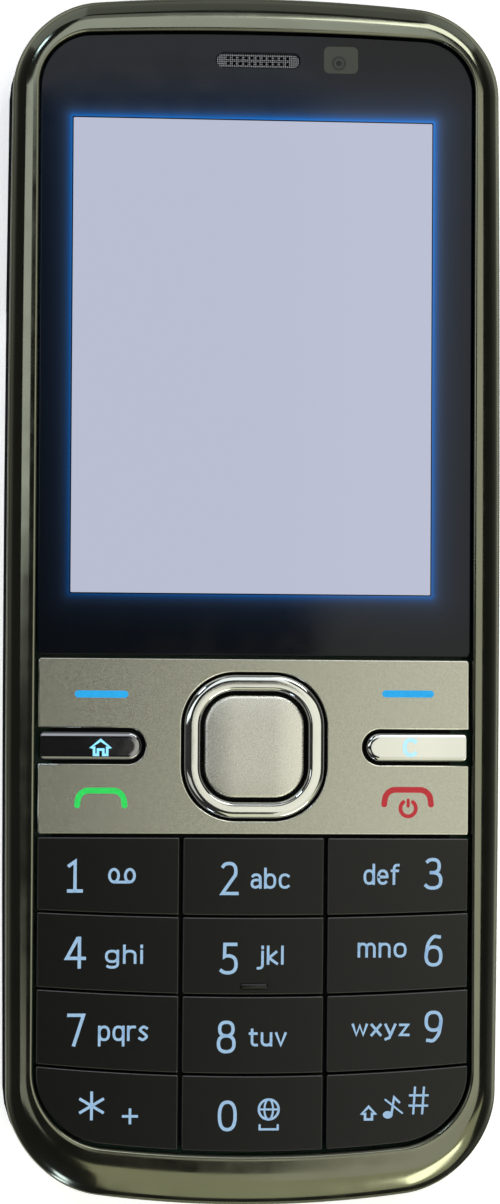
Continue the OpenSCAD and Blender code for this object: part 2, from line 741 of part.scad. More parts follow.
module camera_glass() color([0.05, 0.05, 0.08]) rod(0, camera_y, camera_r, 0.25, panel_t - 0.05);
module rear_camera() color([0.1, 0.1, 0.1]) {
  soft_block(0, camera_y, camera_box, camera_box, 0.5, back_wall + 0.05, z_floor_top + 0.4);
  rod(0, camera_y, camera_r - 0.05, panel_t - seat, back_wall + 0.1);
}
module flash_led() color([0.95, 0.93, 0.8]) {
  rod(flash_x, camera_y, flash_r, 0.12, back_wall + 0.1);
  block(flash_x, camera_y, 2 * flash_r + 0.6, 2 * flash_r + 0.6, back_wall + 0.05, back_wall + 1);
}
module speaker_mesh() color([0.3, 0.3, 0.3]) difference() {
  block(speaker_x, speaker_y, slot_w + 0.9, slot_n * slot_pitch - play, panel_t + seat, 1);
  for (i = [-6 : 6], j = [-3 : 3])
    block(speaker_x + i * slot_w / 12.5, speaker_y + j * slot_pitch * 0.64, slot_w / 25,
      slot_pitch * 0.36, 0, 2);
}
module loudspeaker() color([0.2, 0.2, 0.2]) {
  soft_block(speaker_x, speaker_y, speaker_w, speaker_l, 1, back_wall + 0.05, back_wall + 3.2);
  block(speaker_x, speaker_y, slot_w + 0.6, slot_n * slot_pitch - 0.4, 1 + seat, back_wall + 0.1);
}
module battery() color([0.25, 0.27, 0.3]) {
  soft_block(0, battery_y, battery_w, battery_l, 1.2, battery_z, battery_z + battery_t);
}
module battery_contacts() color([0.85, 0.7, 0.3]) {
  for (i = [-1 : 1])
    block(i * spring_pitch, bay_top - bay_play + 0.55, spring_w, 1, 2.4, z_floor - 0.4);
}
module battery_cover() color([0.55, 0.55, 0.52]) {
  difference() {
    intersection() {
      skin(concat(
        [for (f = shell_profile) at(outer(f[0]), f[1])],
        [at(outer(0), cover_rim)]
      ));
      below(cover_end - play / 2);
    }
    skin([
      at(outer(3.2), cover_t), at(outer(2.15), cover_t + 0.4), at(outer(1.42), cover_t + 1.1),
      at(outer(1), cover_t + 2.1), at(outer(0.85), cover_t + 3), at(outer(0.85), cover_rim + 1)
    ]);
  }
  for (s = [-1, 1]) translate([s * tongue_x - tongue_w / 2, cover_end - 3, cover_t / 2])
    cube([tongue_w, 4, cover_t / 2]);
}
module sim_holder() color([0.75, 0.75, 0.75]) {
  y = low_top - 0.2 - sim_l / 2;
  difference() {
    block(sim_x, y, sim_w, sim_l, z_floor - seat - sim_t, z_floor - seat);
    block(sim_x, y, card_w, sim_l + 2, z_floor - sim_t + 0.43, z_floor - 0.55);
    block(sim_x, y, card_w - 3.3, sim_l + 2, z_floor - sim_t - 1, z_floor - 1);
  }
}
module antenna_carrier() color([0.3, 0.3, 0.3]) difference() {
  intersection() {
    prism(outer(core_in + 1.2), cover_t + 0.4, z_floor - 0.2);
    below(low_bottom - rib - 0.2);
  }
  block(0, -half_l + 7, low_w / 3, 3, 0, cover_t + 2);
}

// Sockets, motor and card door

module headset_socket() color([0.12, 0.12, 0.12]) difference() {
  union() {
    translate([jack_x - jack_w / 2, jack_end - jack_depth - 0.8, back_wall + 0.3])
      cube([jack_w, in_y - 2.5 - jack_end + jack_depth + 0.8, z_board - 0.6 - back_wall]);
    rod_y(jack_x, jack_z, jack_nose, in_y - 3, jack_end);
  }
  rod_y(jack_x, jack_z, jack_r, jack_end - jack_depth, jack_end + 1);
}
module charger_socket() color([0.15, 0.15, 0.15]) {
  w = 2 * charger_r + 2.7;
  difference() {
    union() {
      translate([charger_x - w / 2, jack_end - charger_depth - 3.2, back_wall + 0.3])
        cube([w, in_y - 2.5 - jack_end + charger_depth + 3.2, z_board - 0.6 - back_wall]);
      rod_y(charger_x, jack_z, charger_r + 0.6, in_y - 3, jack_end);
    }
    rod_y(charger_x, jack_z, charger_r, jack_end - charger_depth, jack_end + 1);
  }
  rod_y(charger_x, jack_z, 0.25, jack_end - charger_depth - 0.5, jack_end - 1.2);
}
module usb_socket() color([0.75, 0.75, 0.76]) {
  x = -half_w + wall + side_bow + usb_l / 2;
  difference() {
    union() {
      block(x, usb_y, usb_l, usb_w, z_edge - 1, z_edge + 1);
      for (s = [-1, 1])
        block(x, usb_y + s * (usb_w / 2 - 0.4), usb_l / 2, 0.6, z_edge, z_board - seat);
    }
    block(x - 0.4, usb_y, usb_l, usb_w - 0.7, z_edge - 0.75, z_edge + 0.25);
    block(x - 0.4, usb_y, usb_l, usb_w - 0.7, z_edge + 0.55, z_edge + 0.75);
  }
}
module vibration_motor() color([0.75, 0.75, 0.76]) {
  y1 = low_top - 0.8;
  difference() {
    rod_y(motor_x, motor_z, motor_r, y1 - motor_l, y1);
    rod_y(motor_x, motor_z, shaft_r + run, y1 - motor_l - 1, y1 - 2.2);
  }
}
module motor_weight() color([0.6, 0.58, 0.55]) {
  y0 = low_top - 0.8 - motor_l;
  rod_y(motor_x, motor_z, shaft_r, y0 - 4.5, y0 + motor_l - 2.7);
  difference() {
    rod_y(motor_x, motor_z, motor_r - 0.1, y0 - 4.2, y0 - 0.4);
    translate([motor_x - 2 * motor_r, y0 - 5, motor_z + 0.2])
      cube([4 * motor_r, 5, 2 * motor_r]);
  }
}
module card_socket() color([0.75, 0.75, 0.76]) {
  x = -half_w + wall + 1.1 + card_socket_l / 2;
  y = card_y0 + card_l / 2 + 0.2;
  difference() {
    block(x, y, card_socket_l, card_l + 1.2, z_edge - 0.9, z_edge + 0.9);
    block(x - 1, y, card_socket_l, card_l, z_edge - 0.45, z_edge + 0.45);
  }
}
module card_door() color([0.07, 0.07, 0.08]) difference() {
  union() {
    rod(card_pin_x, card_y0, door_r, z_edge - edge_key_h / 2, z_edge + edge_key_h / 2);
    translate([card_pin_x - door_r, card_y0, z_edge - edge_key_h / 2])
      cube([door_t, card_l, edge_key_h]);
  }
  rod(card_pin_x, card_y0, card_pin_r + run, 0, body_t);
}
module card_door_pin() color([0.8, 0.8, 0.8]) {
  rod(card_pin_x, card_y0, card_pin_r, z_edge - edge_key_h / 2 - 0.45,
    z_edge + edge_key_h / 2 + 0.25);
}

// Keys on the edges

module volume_key() color([0.2, 0.2, 0.2]) {
  prism(rounded(in_x - 0.95, half_w + edge_key_out, volume_y - volume_l / 2,
    volume_y + volume_l / 2, [0.05, 0.9, 0.9, 0.05], 5, 0, 0),
    z_edge - edge_key_h / 2, z_edge + edge_key_h / 2);
  block(in_x - 0.95 + edge_flange / 2, volume_y, edge_flange, volume_l + 1.2,
    z_edge - edge_key_h / 2, z_edge + edge_key_h / 2);
}
module capture_key() color([0.2, 0.2, 0.2]) {
  prism(rounded(in_x - 0.7, half_w + edge_key_out, capture_y - capture_l / 2,
    capture_y + capture_l / 2, [0.05, 0.9, 0.9, 0.05], 5, 0, 0),
    z_edge - edge_key_h / 2, z_edge + edge_key_h / 2);
  block(in_x - 0.7 + edge_flange / 2, capture_y, edge_flange, capture_l + 1.2,
    z_edge - edge_key_h / 2, z_edge + edge_key_h / 2);
}
module power_key() color([0.2, 0.2, 0.2]) {
  prism(rounded(-power_l / 2, power_l / 2, in_y - 0.7, half_l + edge_key_out,
    [0.05, 0.05, 0.9, 0.9], 5, 0, 0),
    z_edge - edge_key_h / 2, z_edge + edge_key_h / 2);
  block(0, in_y - 0.7 + edge_flange / 2, power_l + 1.2, edge_flange,
    z_edge - edge_key_h / 2, z_edge + edge_key_h / 2);
}
module case_screws() color([0.75, 0.75, 0.76]) at_screws() {
  z0 = cover_rim + play + 0.05;
  difference() {
    union() {
      rod(0, 0, head_r, z0, z0 + 0.42);
      rod(0, 0, screw_r, z0 + 0.4, z_boss - 0.25);
    }
    translate([0, 0, z0 - 1]) cylinder(r = 0.5, h = 1.25, $fn = 6);
  }
}

front_cover();
display_window();
window_adhesive();
earpiece_mesh();
front_camera();
display_panel();
display_frame();
earpiece_speaker();
left_function_key();
right_function_key();
home_key();
clear_key();
navi_base();
navi_ring();
select_key();
key_1();
key_2();
key_3();
key_4();
key_5();
key_6();
key_7();
key_8();
key_9();
key_star();
key_0();
key_hash();
keymat();
key_domes();
main_board();
shield_cans();
microphone();
rear_housing();
camera_panel();
camera_ring();
camera_glass();
rear_camera();
flash_led();
speaker_mesh();
loudspeaker();
battery();
battery_contacts();
battery_cover();
sim_holder();
card_socket();
card_door();
card_door_pin();
usb_socket();
headset_socket();
charger_socket();
vibration_motor();
motor_weight();
antenna_carrier();
edge_switches();
volume_key();
capture_key();
power_key();
case_screws();
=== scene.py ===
import json
from math import cos, pi, radians, sin

import bpy
import numpy as np
from mathutils import Matrix, Vector
from mathutils.geometry import tessellate_polygon


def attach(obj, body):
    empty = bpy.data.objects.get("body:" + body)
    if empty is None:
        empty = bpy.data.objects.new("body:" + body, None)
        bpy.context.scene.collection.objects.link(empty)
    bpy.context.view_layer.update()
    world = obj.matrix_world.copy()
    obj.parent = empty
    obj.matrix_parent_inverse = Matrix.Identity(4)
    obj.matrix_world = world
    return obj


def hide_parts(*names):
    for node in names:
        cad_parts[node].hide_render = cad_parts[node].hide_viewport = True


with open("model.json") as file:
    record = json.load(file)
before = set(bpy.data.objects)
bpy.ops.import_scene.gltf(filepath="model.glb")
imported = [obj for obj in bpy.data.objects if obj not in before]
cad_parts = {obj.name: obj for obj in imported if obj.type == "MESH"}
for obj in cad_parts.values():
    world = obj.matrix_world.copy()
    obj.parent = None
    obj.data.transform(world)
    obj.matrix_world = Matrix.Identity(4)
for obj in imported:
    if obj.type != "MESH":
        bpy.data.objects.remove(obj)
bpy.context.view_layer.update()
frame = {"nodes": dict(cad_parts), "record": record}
nodes = frame["nodes"]
MM = 0.001

# Sizes in millimetres, named as in the part's source

half_l, end_w = 56.0, 22.65
side_bow, top_sag, bottom_sag = 0.35, 1.5, 2.4
top_corner_r, bottom_corner_r, wall = 7.6, 8.3, 1.3
open_w, open_top, open_bottom = 20.3, 52.7, -51.34
open_top_sag, open_bottom_sag = 0.6, 1.65
opening_top_r, opening_bottom_r = 4.7, 6.3
display_w, display_h, display_x, display_y = 33.5, 44.0, -0.38, 22.5
ear_l, ear_h, ear_y, lens_x = 7.75, 1.3, 50.1, 8.0
lens_shift, lens_w, lens_h, lens_r = (-0.24, 0.22), 3.2, 2.5, 0.5
camera_y, camera_r = 38.2, 3.05
window_bottom, window_t = -5.25, 0.88
key_w, key_gap, row_gap, edge_gap = 20.05, 0.32, 0.16, 0.25
key_corner_r, plate_corner_r, key_edge, key_fall = 0.18, 0.3, 0.12, 0.35
key_bottom, key_top, row_pitch = -51.29, -22.09, 7.3
mid_key_w, col_x = 13.12, 6.88
row_sag_first, row_sag_step = 0.25, 0.235
plate_bottom, plate_top, navi_y = -21.77, -5.57, -13.67
navi_w, navi_h, navi_r = 12.92, 13.14, 4.7
select_w, select_h, select_r = 9.28, 9.5, 2.88
bar_key_h, bar_in, bar_out = 2.68, 10.4, 19.9
z_seam, z_ledge, z_front = 7.45, 10.85, 12.3
z_key_base, z_key, z_plate, z_window, z_ring = 10.17, 11.95, 11.85, 11.75, 10.8


# Outlines, as arrays of points in the plane, anticlockwise


def corner(cx, cy, r, start, n):
    a = radians(start) + np.linspace(0, pi / 2, n + 1)
    return np.column_stack([cx + r * np.cos(a), cy + r * np.sin(a)])


def edge(p, q, n):
    t = np.arange(1, n + 1)[:, None] / (n + 1)
    return np.array(p) + (np.array(q) - np.array(p)) * t


def rounded(x0, x1, y0, y1, r, nc=12, ne=0, ns=0):
    """Rounded rectangle; radii in the order bottom left, bottom right, top right, top left."""
    r = [r] * 4 if np.isscalar(r) else r
    return np.concatenate([
        corner(x0 + r[0], y0 + r[0], r[0], 180, nc),
        edge((x0 + r[0], y0), (x1 - r[1], y0), ne),
        corner(x1 - r[1], y0 + r[1], r[1], 270, nc),
        edge((x1, y0 + r[1]), (x1, y1 - r[2]), ns),
        corner(x1 - r[2], y1 - r[2], r[2], 0, nc),
        edge((x1 - r[2], y1), (x0 + r[3], y1), ne),
        corner(x0 + r[3], y1 - r[3], r[3], 90, nc),
        edge((x0, y1 - r[3]), (x0, y0 + r[0]), ns),
    ])


def bent(pts, y0, y1, s0, s1, w, bow):
    """Bends both ends by s0 and s1 at the half width w, and bows the sides."""
    x, y = pts[:, 0], pts[:, 1]
    k = (y - y0) / (y1 - y0)
    return np.column_stack([
        x * (1 + bow / w * (1 - (y / half_l) ** 2)),
        y + (s0 * (1 - k) + s1 * k) * (x / w) ** 2,
    ])


def outer(d, nc=28, ne=30, ns=36):
    rt, rb = top_corner_r - d, bottom_corner_r - d
    flat = rounded(-end_w + d, end_w - d, -half_l + d, half_l - d, [rb, rb, rt, rt], nc, ne, ns)
    return bent(flat, -half_l, half_l, bottom_sag, -top_sag, end_w, side_bow)


def opening(d, nc=28, ne=30, ns=36):
    rt, rb = opening_top_r - d, opening_bottom_r - d
    flat = rounded(
        -open_w + d, open_w - d, open_bottom + d, open_top - d, [rb, rb, rt, rt], nc, ne, ns)
    return bent(flat, open_bottom, open_top, open_bottom_sag, -open_top_sag, open_w, 0)


def window_shape(d):
    rt = opening_top_r - d
    flat = rounded(-open_w + d, open_w - d, window_bottom, open_top - d, [0.5, 0.5, rt, rt], 16, 30)
    return bent(flat, window_bottom, open_top, 0, -open_top_sag, open_w, 0)


def row_y(i):
    return key_top - i * row_pitch


def row_sag(i):
    return row_sag_first + row_sag_step * i if i else 0.0


def key_shape(c, i, d):
    """Outline of the number key in column c and row i, set in by d."""
    x0 = (-key_w, -mid_key_w / 2, col_x)[c + 1]
    x1 = (-col_x, mid_key_w / 2, key_w)[c + 1]
    y0 = key_bottom + edge_gap - 0.05 if i == 3 else row_y(i + 1) + row_gap / 2
    y1 = row_y(i) - (row_gap / 2 if i else 0)
    s0 = open_bottom_sag if i == 3 else row_sag(i + 1)
    r, big = key_corner_r - d, opening_bottom_r - edge_gap - d
    radii = [big if i == 3 and c < 0 else r, big if i == 3 and c > 0 else r, r, r]
    flat = rounded(x0 + d, x1 - d, y0 + d, y1 - d, radii, 12, 10)
    return bent(flat, y0, y1, s0, row_sag(i), key_w, 0)


def navi_shape(w, h, r, d):
    return rounded(-w / 2 + d, w / 2 - d, navi_y - h / 2 + d, navi_y + h / 2 - d, r - d, 20, 6, 6)


def bar_shape(d):
    end = bar_key_h / 2 - d - 0.01
    y0, y1 = navi_y - bar_key_h / 2 + d, navi_y + bar_key_h / 2 - d
    square = max(0.5 - d, 0.03)
    return rounded(bar_in + d, bar_out - 0.25 * d, y0, y1, [end, square, square, end], 14)


def mirror_x(pts):
    return pts[::-1] * np.array([-1, 1])


def inset(pts, d):
    """The outline moved inwards by d, with mitred corners."""
    e = np.roll(pts, -1, 0) - pts
    e /= np.linalg.norm(e, axis=1)[:, None]
    n = np.column_stack([-e[:, 1], e[:, 0]])
    m = np.roll(n, 1, 0)
    return pts + d * (n + m) / (1 + (n * m).sum(1))[:, None]


def at(pts, z):
    return np.column_stack([pts, np.full(len(pts), z) if np.isscalar(z) else z])


def smooth_curve(points, per_span):
    """Points of a smooth curve through the given points."""
    p = np.array(points, float)
    p = np.concatenate([[2 * p[0] - p[1]], p, [2 * p[-1] - p[-2]]])
    out = []
    for a, b, c, d in zip(p, p[1:], p[2:], p[3:]):
        for t in np.arange(per_span) / per_span:
            out.append(0.5 * (2 * b + (c - a) * t + (2 * a - 5 * b + 4 * c - d) * t * t
                              + (3 * b - 3 * c + d - a) * t ** 3))
    return np.array(out + [p[-2]])


# Meshes


def mesh_object(name, verts, faces, smooth=True):
    mesh = bpy.data.meshes.new(name)
    mesh.from_pydata((np.asarray(verts, float) * MM).tolist(), [], faces)
    mesh.validate()
    mesh.update()
    if smooth:
        mesh.shade_smooth()
    obj = bpy.data.objects.new(name, mesh)
    bpy.context.scene.collection.objects.link(obj)
    return obj


def even_normals(obj):
    """Keeps flat faces flat next to their rounded edges."""
    obj.data.set_sharp_from_angle(angle=radians(60))
    even = obj.modifiers.new("even normals", "WEIGHTED_NORMAL")
    even.weight, even.keep_sharp = 80, True
    return obj


def walls(rings, first, loop, flip=False):
    """Side faces between neighbouring rings of equal length."""
    n, m = len(rings[0]), len(rings)
    faces = []
    for i in range(m if loop else m - 1):
        for j in range(n):
            a, b = first + i * n + j, first + i * n + (j + 1) % n
            c, d = first + (i + 1) % m * n + (j + 1) % n, first + (i + 1) % m * n + j
            faces.append((d, c, b, a) if flip else (a, b, c, d))
    return faces


def loft(name, rings, loop=False):
    """Skins a stack of outlines from the bottom up, or a closed loop of them."""
    n, m = len(rings[0]), len(rings)
    faces = walls(rings, 0, loop)
    if not loop:
        faces += [tuple(range(n))[::-1], tuple(range((m - 1) * n, m * n))]
    obj = mesh_object(name, np.concatenate(rings), faces)
    return obj if loop else even_normals(obj)


def edge_profile(r, steps=5):
    """Inset and drop along a rounded edge of radius r, from the side to the top."""
    return [(r * (1 - cos(a)), r * (1 - sin(a))) for a in np.linspace(0, pi / 2, steps + 1)]


def plate(name, outline, z0, z1, r, holes=(), patches=(), cut=None, rim=0):
    """A flat plate with rounded upper edges, holes, and patches of other materials on its top.

    Points nearer to x = 0 than cut lie on a sawn edge, which stays square. The rounded
    edges take the material slot given as rim.
    """
    verts, faces, kinds = [], [], []
    low, high = [], []
    first = 0
    for k, pts in enumerate([outline, *holes]):
        side = -1 if k else 1
        steps = edge_profile(r) + [(r + 0.04, 0.0)]
        rings = [at(pts, z0)] + [at(inset(pts, side * d), z1 - e) for d, e in steps]
        if cut:
            sawn = np.abs(pts[:, 0]) < cut
            for ring in rings:
                ring[sawn, 0] = pts[sawn, 0]
        faces += walls(rings, first, False, flip=bool(k))
        kinds += [0] * len(pts) + [rim] * (len(faces) - len(kinds) - len(pts))
        low.append((rings[0], first))
        high.append((rings[-1], first + (len(rings) - 1) * len(pts)))
        verts += rings
        first += len(rings) * len(pts)
    tops = []
    for pts in patches:
        ring = at(pts, z1)
        tops.append((ring, first))
        verts.append(ring)
        first += len(pts)

    every = np.concatenate(verts)

    def fill(loops, kind, down=False):
        index = [f + j for pts, f in loops for j in range(len(pts))]
        for tri in tessellate_polygon([[Vector(p) for p in pts] for pts, _ in loops]):
            a, b, c = (index[t] for t in tri)
            up = np.cross(every[b] - every[a], every[c] - every[a])[2] > 0
            faces.append((a, b, c) if up != down else (c, b, a))
            kinds.append(kind)

    fill(low, 0, down=True)
    fill(high + tops, 0)
    for k, top in enumerate(tops):
        fill([top], k + 1)
    obj = mesh_object(name, every, faces)
    obj.data.polygons.foreach_set("material_index", kinds)
    return even_normals(obj)


# Flat shapes for prints, each as points in the plane and faces


def fill_loops(loops):
    """The area inside the first loop, without the others."""
    faces = tessellate_polygon([[Vector((*p, 0)) for p in loop] for loop in loops])
    return np.concatenate(loops), [tuple(f) for f in faces]


def stroke(points, width, closed=False, square=False):
    """A line of that width along the points, with round or square ends if it is open."""
    p = np.array(points, float)
    e = np.roll(p, -1, 0) - p if closed else np.diff(p, axis=0)
    e /= np.linalg.norm(e, axis=1)[:, None]
    n = np.column_stack([-e[:, 1], e[:, 0]])
    before = np.roll(n, 1, 0) if closed else np.concatenate([n[:1], n])
    after = n if closed else np.concatenate([n, n[-1:]])
    side = (before + after) / np.maximum(0.45, 1 + (before * after).sum(1))[:, None] * width / 2
    if closed:
        return fill_loops([p + side, p - side])
    if square:
        p[0] -= e[0] * width / 2
        p[-1] += e[-1] * width / 2
        return fill_loops([np.concatenate([p + side, (p - side)[::-1]])])
    turn = np.linspace(0, pi, 9)[1:-1, None]

    def cap(centre, start):
        across = np.array([-start[1], start[0]])
        return centre + np.cos(turn) * start - np.sin(turn) * across

    outline = [p + side, cap(p[-1], side[-1]), (p - side)[::-1], cap(p[0], -side[0])]
    return fill_loops([np.concatenate(outline)])


def arc(cx, cy, rx, ry, start, end, n=24):
    a = np.radians(np.linspace(start, end, n + 1))
    return np.column_stack([cx + rx * np.cos(a), cy + ry * np.sin(a)])


def ellipse(cx, cy, rx, ry, width):
    return stroke(arc(cx, cy, rx, ry, 0, 360, 36)[:-1], width, closed=True)


def printed(name, shapes, height, body, finish, lift=0.015):
    """A thin raised print of flat shapes on the surface z = height(x, y)."""
    verts, faces = [], []
    for pts, tris in shapes:
        first, n = len(verts), len(pts)
        z = np.array([height(x, y) for x, y in pts])
        verts += np.column_stack([pts, z + lift]).tolist()
        verts += np.column_stack([pts, z - 0.01]).tolist()
        uses = {}
        for f in tris:
            a, b, c = (np.append(pts[k], 0) for k in f[:3])
            f = f if np.cross(b - a, c - a)[2] > 0 else f[::-1]
            faces.append(tuple(first + k for k in f))
            for a, b in zip(f, f[1:] + f[:1]):
                uses[a, b] = uses.get((a, b), 0) + 1
        for a, b in uses:
            if (b, a) not in uses:
                faces.append((first + a, first + a + n, first + b + n, first + b))
    obj = mesh_object(name, verts, faces, smooth=False)
    obj.data.materials.append(prints[finish].material)
    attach(obj, body)
    return obj


# Materials: every finish varies with a fine grain


def set_stops(ramp, stops):
    """Sets a colour ramp to pairs of place and tone."""
    while len(ramp.elements) < len(stops):
        ramp.elements.new(0.5)
    for element, (place, tone) in zip(ramp.elements, stops):
        element.position = place
        element.color = (*tone, 1.0)


class Finish:
    """A principled material with helpers for its node tree."""

    def __init__(self, name, rough, metal=0.0, specular=0.5):
        self.material = bpy.data.materials.new(name)
        self.material.use_nodes = True
        self.tree = self.material.node_tree
        self.shader = self.tree.nodes["Principled BSDF"]
        self.set(Roughness=rough, Metallic=metal)
        self.shader.inputs["Specular IOR Level"].default_value = specular
        self.coords = self.add("ShaderNodeTexCoord").outputs["Object"]

    def set(self, **values):
        for key, value in values.items():
            self.shader.inputs[key.replace("_", " ")].default_value = value
        return self

    def add(self, kind, **props):
        node = self.tree.nodes.new(kind)
        for key, value in props.items():
            setattr(node, key, value)
        return node

    def link(self, out, socket):
        self.tree.links.new(out, socket)

    def feed(self, out, name):
        self.link(out, self.shader.inputs[name])
        return self

    def math(self, operation, a, b=None, clamp=False):
        node = self.add("ShaderNodeMath", operation=operation, use_clamp=clamp)
        for socket, value in zip(node.inputs, (a, b)):
            if isinstance(value, (int, float)):
                socket.default_value = value
            elif value is not None:
                self.link(value, socket)
        return node.outputs[0]

    def offset(self, x0, y0):
        """Distances along x and y from a point given in millimetres."""
        split = self.add("ShaderNodeSeparateXYZ")
        self.link(self.coords, split.inputs["Vector"])
        return (self.math("SUBTRACT", split.outputs["X"], x0 * MM),
                self.math("SUBTRACT", split.outputs["Y"], y0 * MM))

    def length(self, x, y):
        squares = self.math("ADD", self.math("MULTIPLY", x, x), self.math("MULTIPLY", y, y))
        return self.math("SQRT", squares)

    def noise(self, size, detail=3.0, stretch=(1, 1, 1)):
        """Noise with features of that size in millimetres."""
        mapping = self.add("ShaderNodeMapping")
        mapping.inputs["Scale"].default_value = [s / (size * MM) for s in stretch]
        self.link(self.coords, mapping.inputs["Vector"])
        node = self.add("ShaderNodeTexNoise")
        node.inputs["Scale"].default_value = 1.0
        node.inputs["Detail"].default_value = detail
        self.link(mapping.outputs["Vector"], node.inputs["Vector"])
        return node.outputs["Fac"]

    def ramp(self, fac, stops):
        node = self.add("ShaderNodeValToRGB")
        set_stops(node.color_ramp, stops)
        self.link(fac, node.inputs["Fac"])
        return node.outputs["Color"]

    def tones(self, fac, tone, vary):
        """Base colour between a darker and a lighter tone."""
        dark = [c * (1 - vary) for c in tone]
        light = [min(1.0, c * (1 + vary)) for c in tone]
        return self.feed(self.ramp(fac, [(0.3, dark), (0.7, light)]), "Base Color")

    def rough_between(self, fac, low, high):
        node = self.add("ShaderNodeMapRange")
        node.inputs["From Min"].default_value = 0.3
        node.inputs["From Max"].default_value = 0.7
        node.inputs["To Min"].default_value = low
        node.inputs["To Max"].default_value = high
        self.link(fac, node.inputs["Value"])
        return self.feed(node.outputs["Result"], "Roughness")

    def bump(self, fac, depth, strength=1.0):
        """Relief of that depth in millimetres."""
        node = self.add("ShaderNodeBump")
        node.inputs["Distance"].default_value = depth * MM
        node.inputs["Strength"].default_value = strength
        self.link(fac, node.inputs["Height"])
        return self.feed(node.outputs["Normal"], "Normal")


def srgb(r, g, b):
    """A linear colour from the 0 to 255 values of a picture."""
    c = np.array([r, g, b]) / 255
    return tuple(np.where(c <= 0.04045, c / 12.92, ((c + 0.055) / 1.055) ** 2.4))


def grained(name, tone, rough, metal=0.0, size=0.12, vary=0.12, depth=0.004, specular=0.5,
            stretch=(1, 1, 1)):
    """Tone, gloss and relief that follow one grain."""
    f = Finish(name, rough, metal, specular)
    fac = f.noise(size, 4.0, stretch)
    f.tones(fac, tone, vary).rough_between(fac, rough * 0.88, min(1.0, rough * 1.12))
    return f.bump(fac, depth)


def polished(name, tone, rough, metal=1.0, specular=0.5, edge_tone=(1, 1, 1)):
    """A mirror finish with faint smears and hairlines; edge_tone dims it at low angles."""
    f = Finish(name, rough, metal, specular)
    f.tones(f.noise(9, 2.0), tone, 0.05).rough_between(f.noise(3, 4.0), rough * 0.7, rough * 1.4)
    f.set(Specular_Tint=(*edge_tone, 1.0))
    return f.bump(f.noise(0.05, 2.0, (1, 0.04, 1)), 0.0002)


def glowing(name, tone, strength, size=0.3, vary=0.1):
    """A print lit from behind."""
    f = Finish(name, 0.5)
    fac = f.noise(size)
    f.tones(fac, [c * 0.6 for c in tone], vary)
    light = f.ramp(fac, [(0.3, [c * (1 - vary) for c in tone]), (0.7, tone)])
    f.feed(light, "Emission Color").set(Emission_Strength=strength)
    return f


# Glow round the display: reach near and far, share of the far part, dark gap and its soft edge
glow_near, glow_wide, glow_share, glow_gap, glow_rise = 0.28, 1.6, 0.11, 0.08, 0.07
glow_tones = [(0.15, (0.02, 0.24, 0.85)), (0.5, (0.17, 0.35, 0.8))]


def window_finish():
    """Black gloss with the blue glow that leaks out round the lit display."""
    f = polished("window_gloss", srgb(12, 15, 20), 0.05, 0.0, 0.19)
    x, y = f.offset(display_x, display_y)
    far_x = f.math("SUBTRACT", f.math("ABSOLUTE", x), display_w / 2 * MM)
    far_y = f.math("SUBTRACT", f.math("ABSOLUTE", y), display_h / 2 * MM)
    d = f.length(f.math("MAXIMUM", far_x, 0.0), f.math("MAXIMUM", far_y, 0.0))
    near = f.math("EXPONENT", f.math("DIVIDE", d, -glow_near * MM))
    wide = f.math("MULTIPLY", f.math("EXPONENT", f.math("DIVIDE", d, -glow_wide * MM)), glow_share)
    line = f.math("DIVIDE", f.math("SUBTRACT", d, glow_gap * MM), glow_rise * MM, clamp=True)
    glow = f.math("MULTIPLY", f.math("ADD", near, wide), line)
    side = f.math("ADD", f.math("MULTIPLY", x, 0.4 / (display_w * MM)), 0.72)
    side = f.math("ADD", f.math("MULTIPLY", y, 0.5 / (display_h * MM)), side)
    f.feed(f.ramp(f.math("DIVIDE", d, 2 * MM), glow_tones), "Emission Color")
    return f.feed(f.math("MULTIPLY", glow, side), "Emission Strength")


def lens_window_finish():
    """The small lens behind the window: a pale frame with a dark eye."""
    f = polished("lens_window", (0.05, 0.052, 0.046), 0.1, 0.0, 0.2)
    x, y = f.offset(lens_x + lens_shift[0] - 0.2, ear_y + lens_shift[1] - 0.3)
    d = f.math("ADD", f.length(x, y), f.math("MULTIPLY", f.noise(0.3), 0.12 * MM))
    stops = [
        (0.0, (0.012, 0.012, 0.014)), (0.28, (0.012, 0.013, 0.016)),
        (0.36, (0.075, 0.078, 0.068)), (0.5, (0.03, 0.031, 0.03)),
        (0.62, (0.03, 0.031, 0.03)), (0.72, (0.062, 0.064, 0.055)),
    ]
    return f.feed(f.ramp(f.math("DIVIDE", d, 1.1 * MM), stops), "Base Color")


def woven(name, tone, dark, pitch):
    """Fine wire mesh, woven on the diagonal."""
    f = Finish(name, 0.35, 0.9)
    turn = f.add("ShaderNodeMapping")
    turn.inputs["Rotation"].default_value = (0, 0, pi / 4)
    f.link(f.coords, turn.inputs["Vector"])
    check = f.add("ShaderNodeTexChecker")
    check.inputs["Scale"].default_value = 1 / (pitch * MM)
    check.inputs["Color1"].default_value = (*tone, 1.0)
    check.inputs["Color2"].default_value = (*dark, 1.0)
    f.link(turn.outputs["Vector"], check.inputs["Vector"])
    f.feed(check.outputs["Color"], "Base Color").rough_between(f.noise(0.2), 0.28, 0.42)
    return f.bump(check.outputs["Fac"], 0.04)


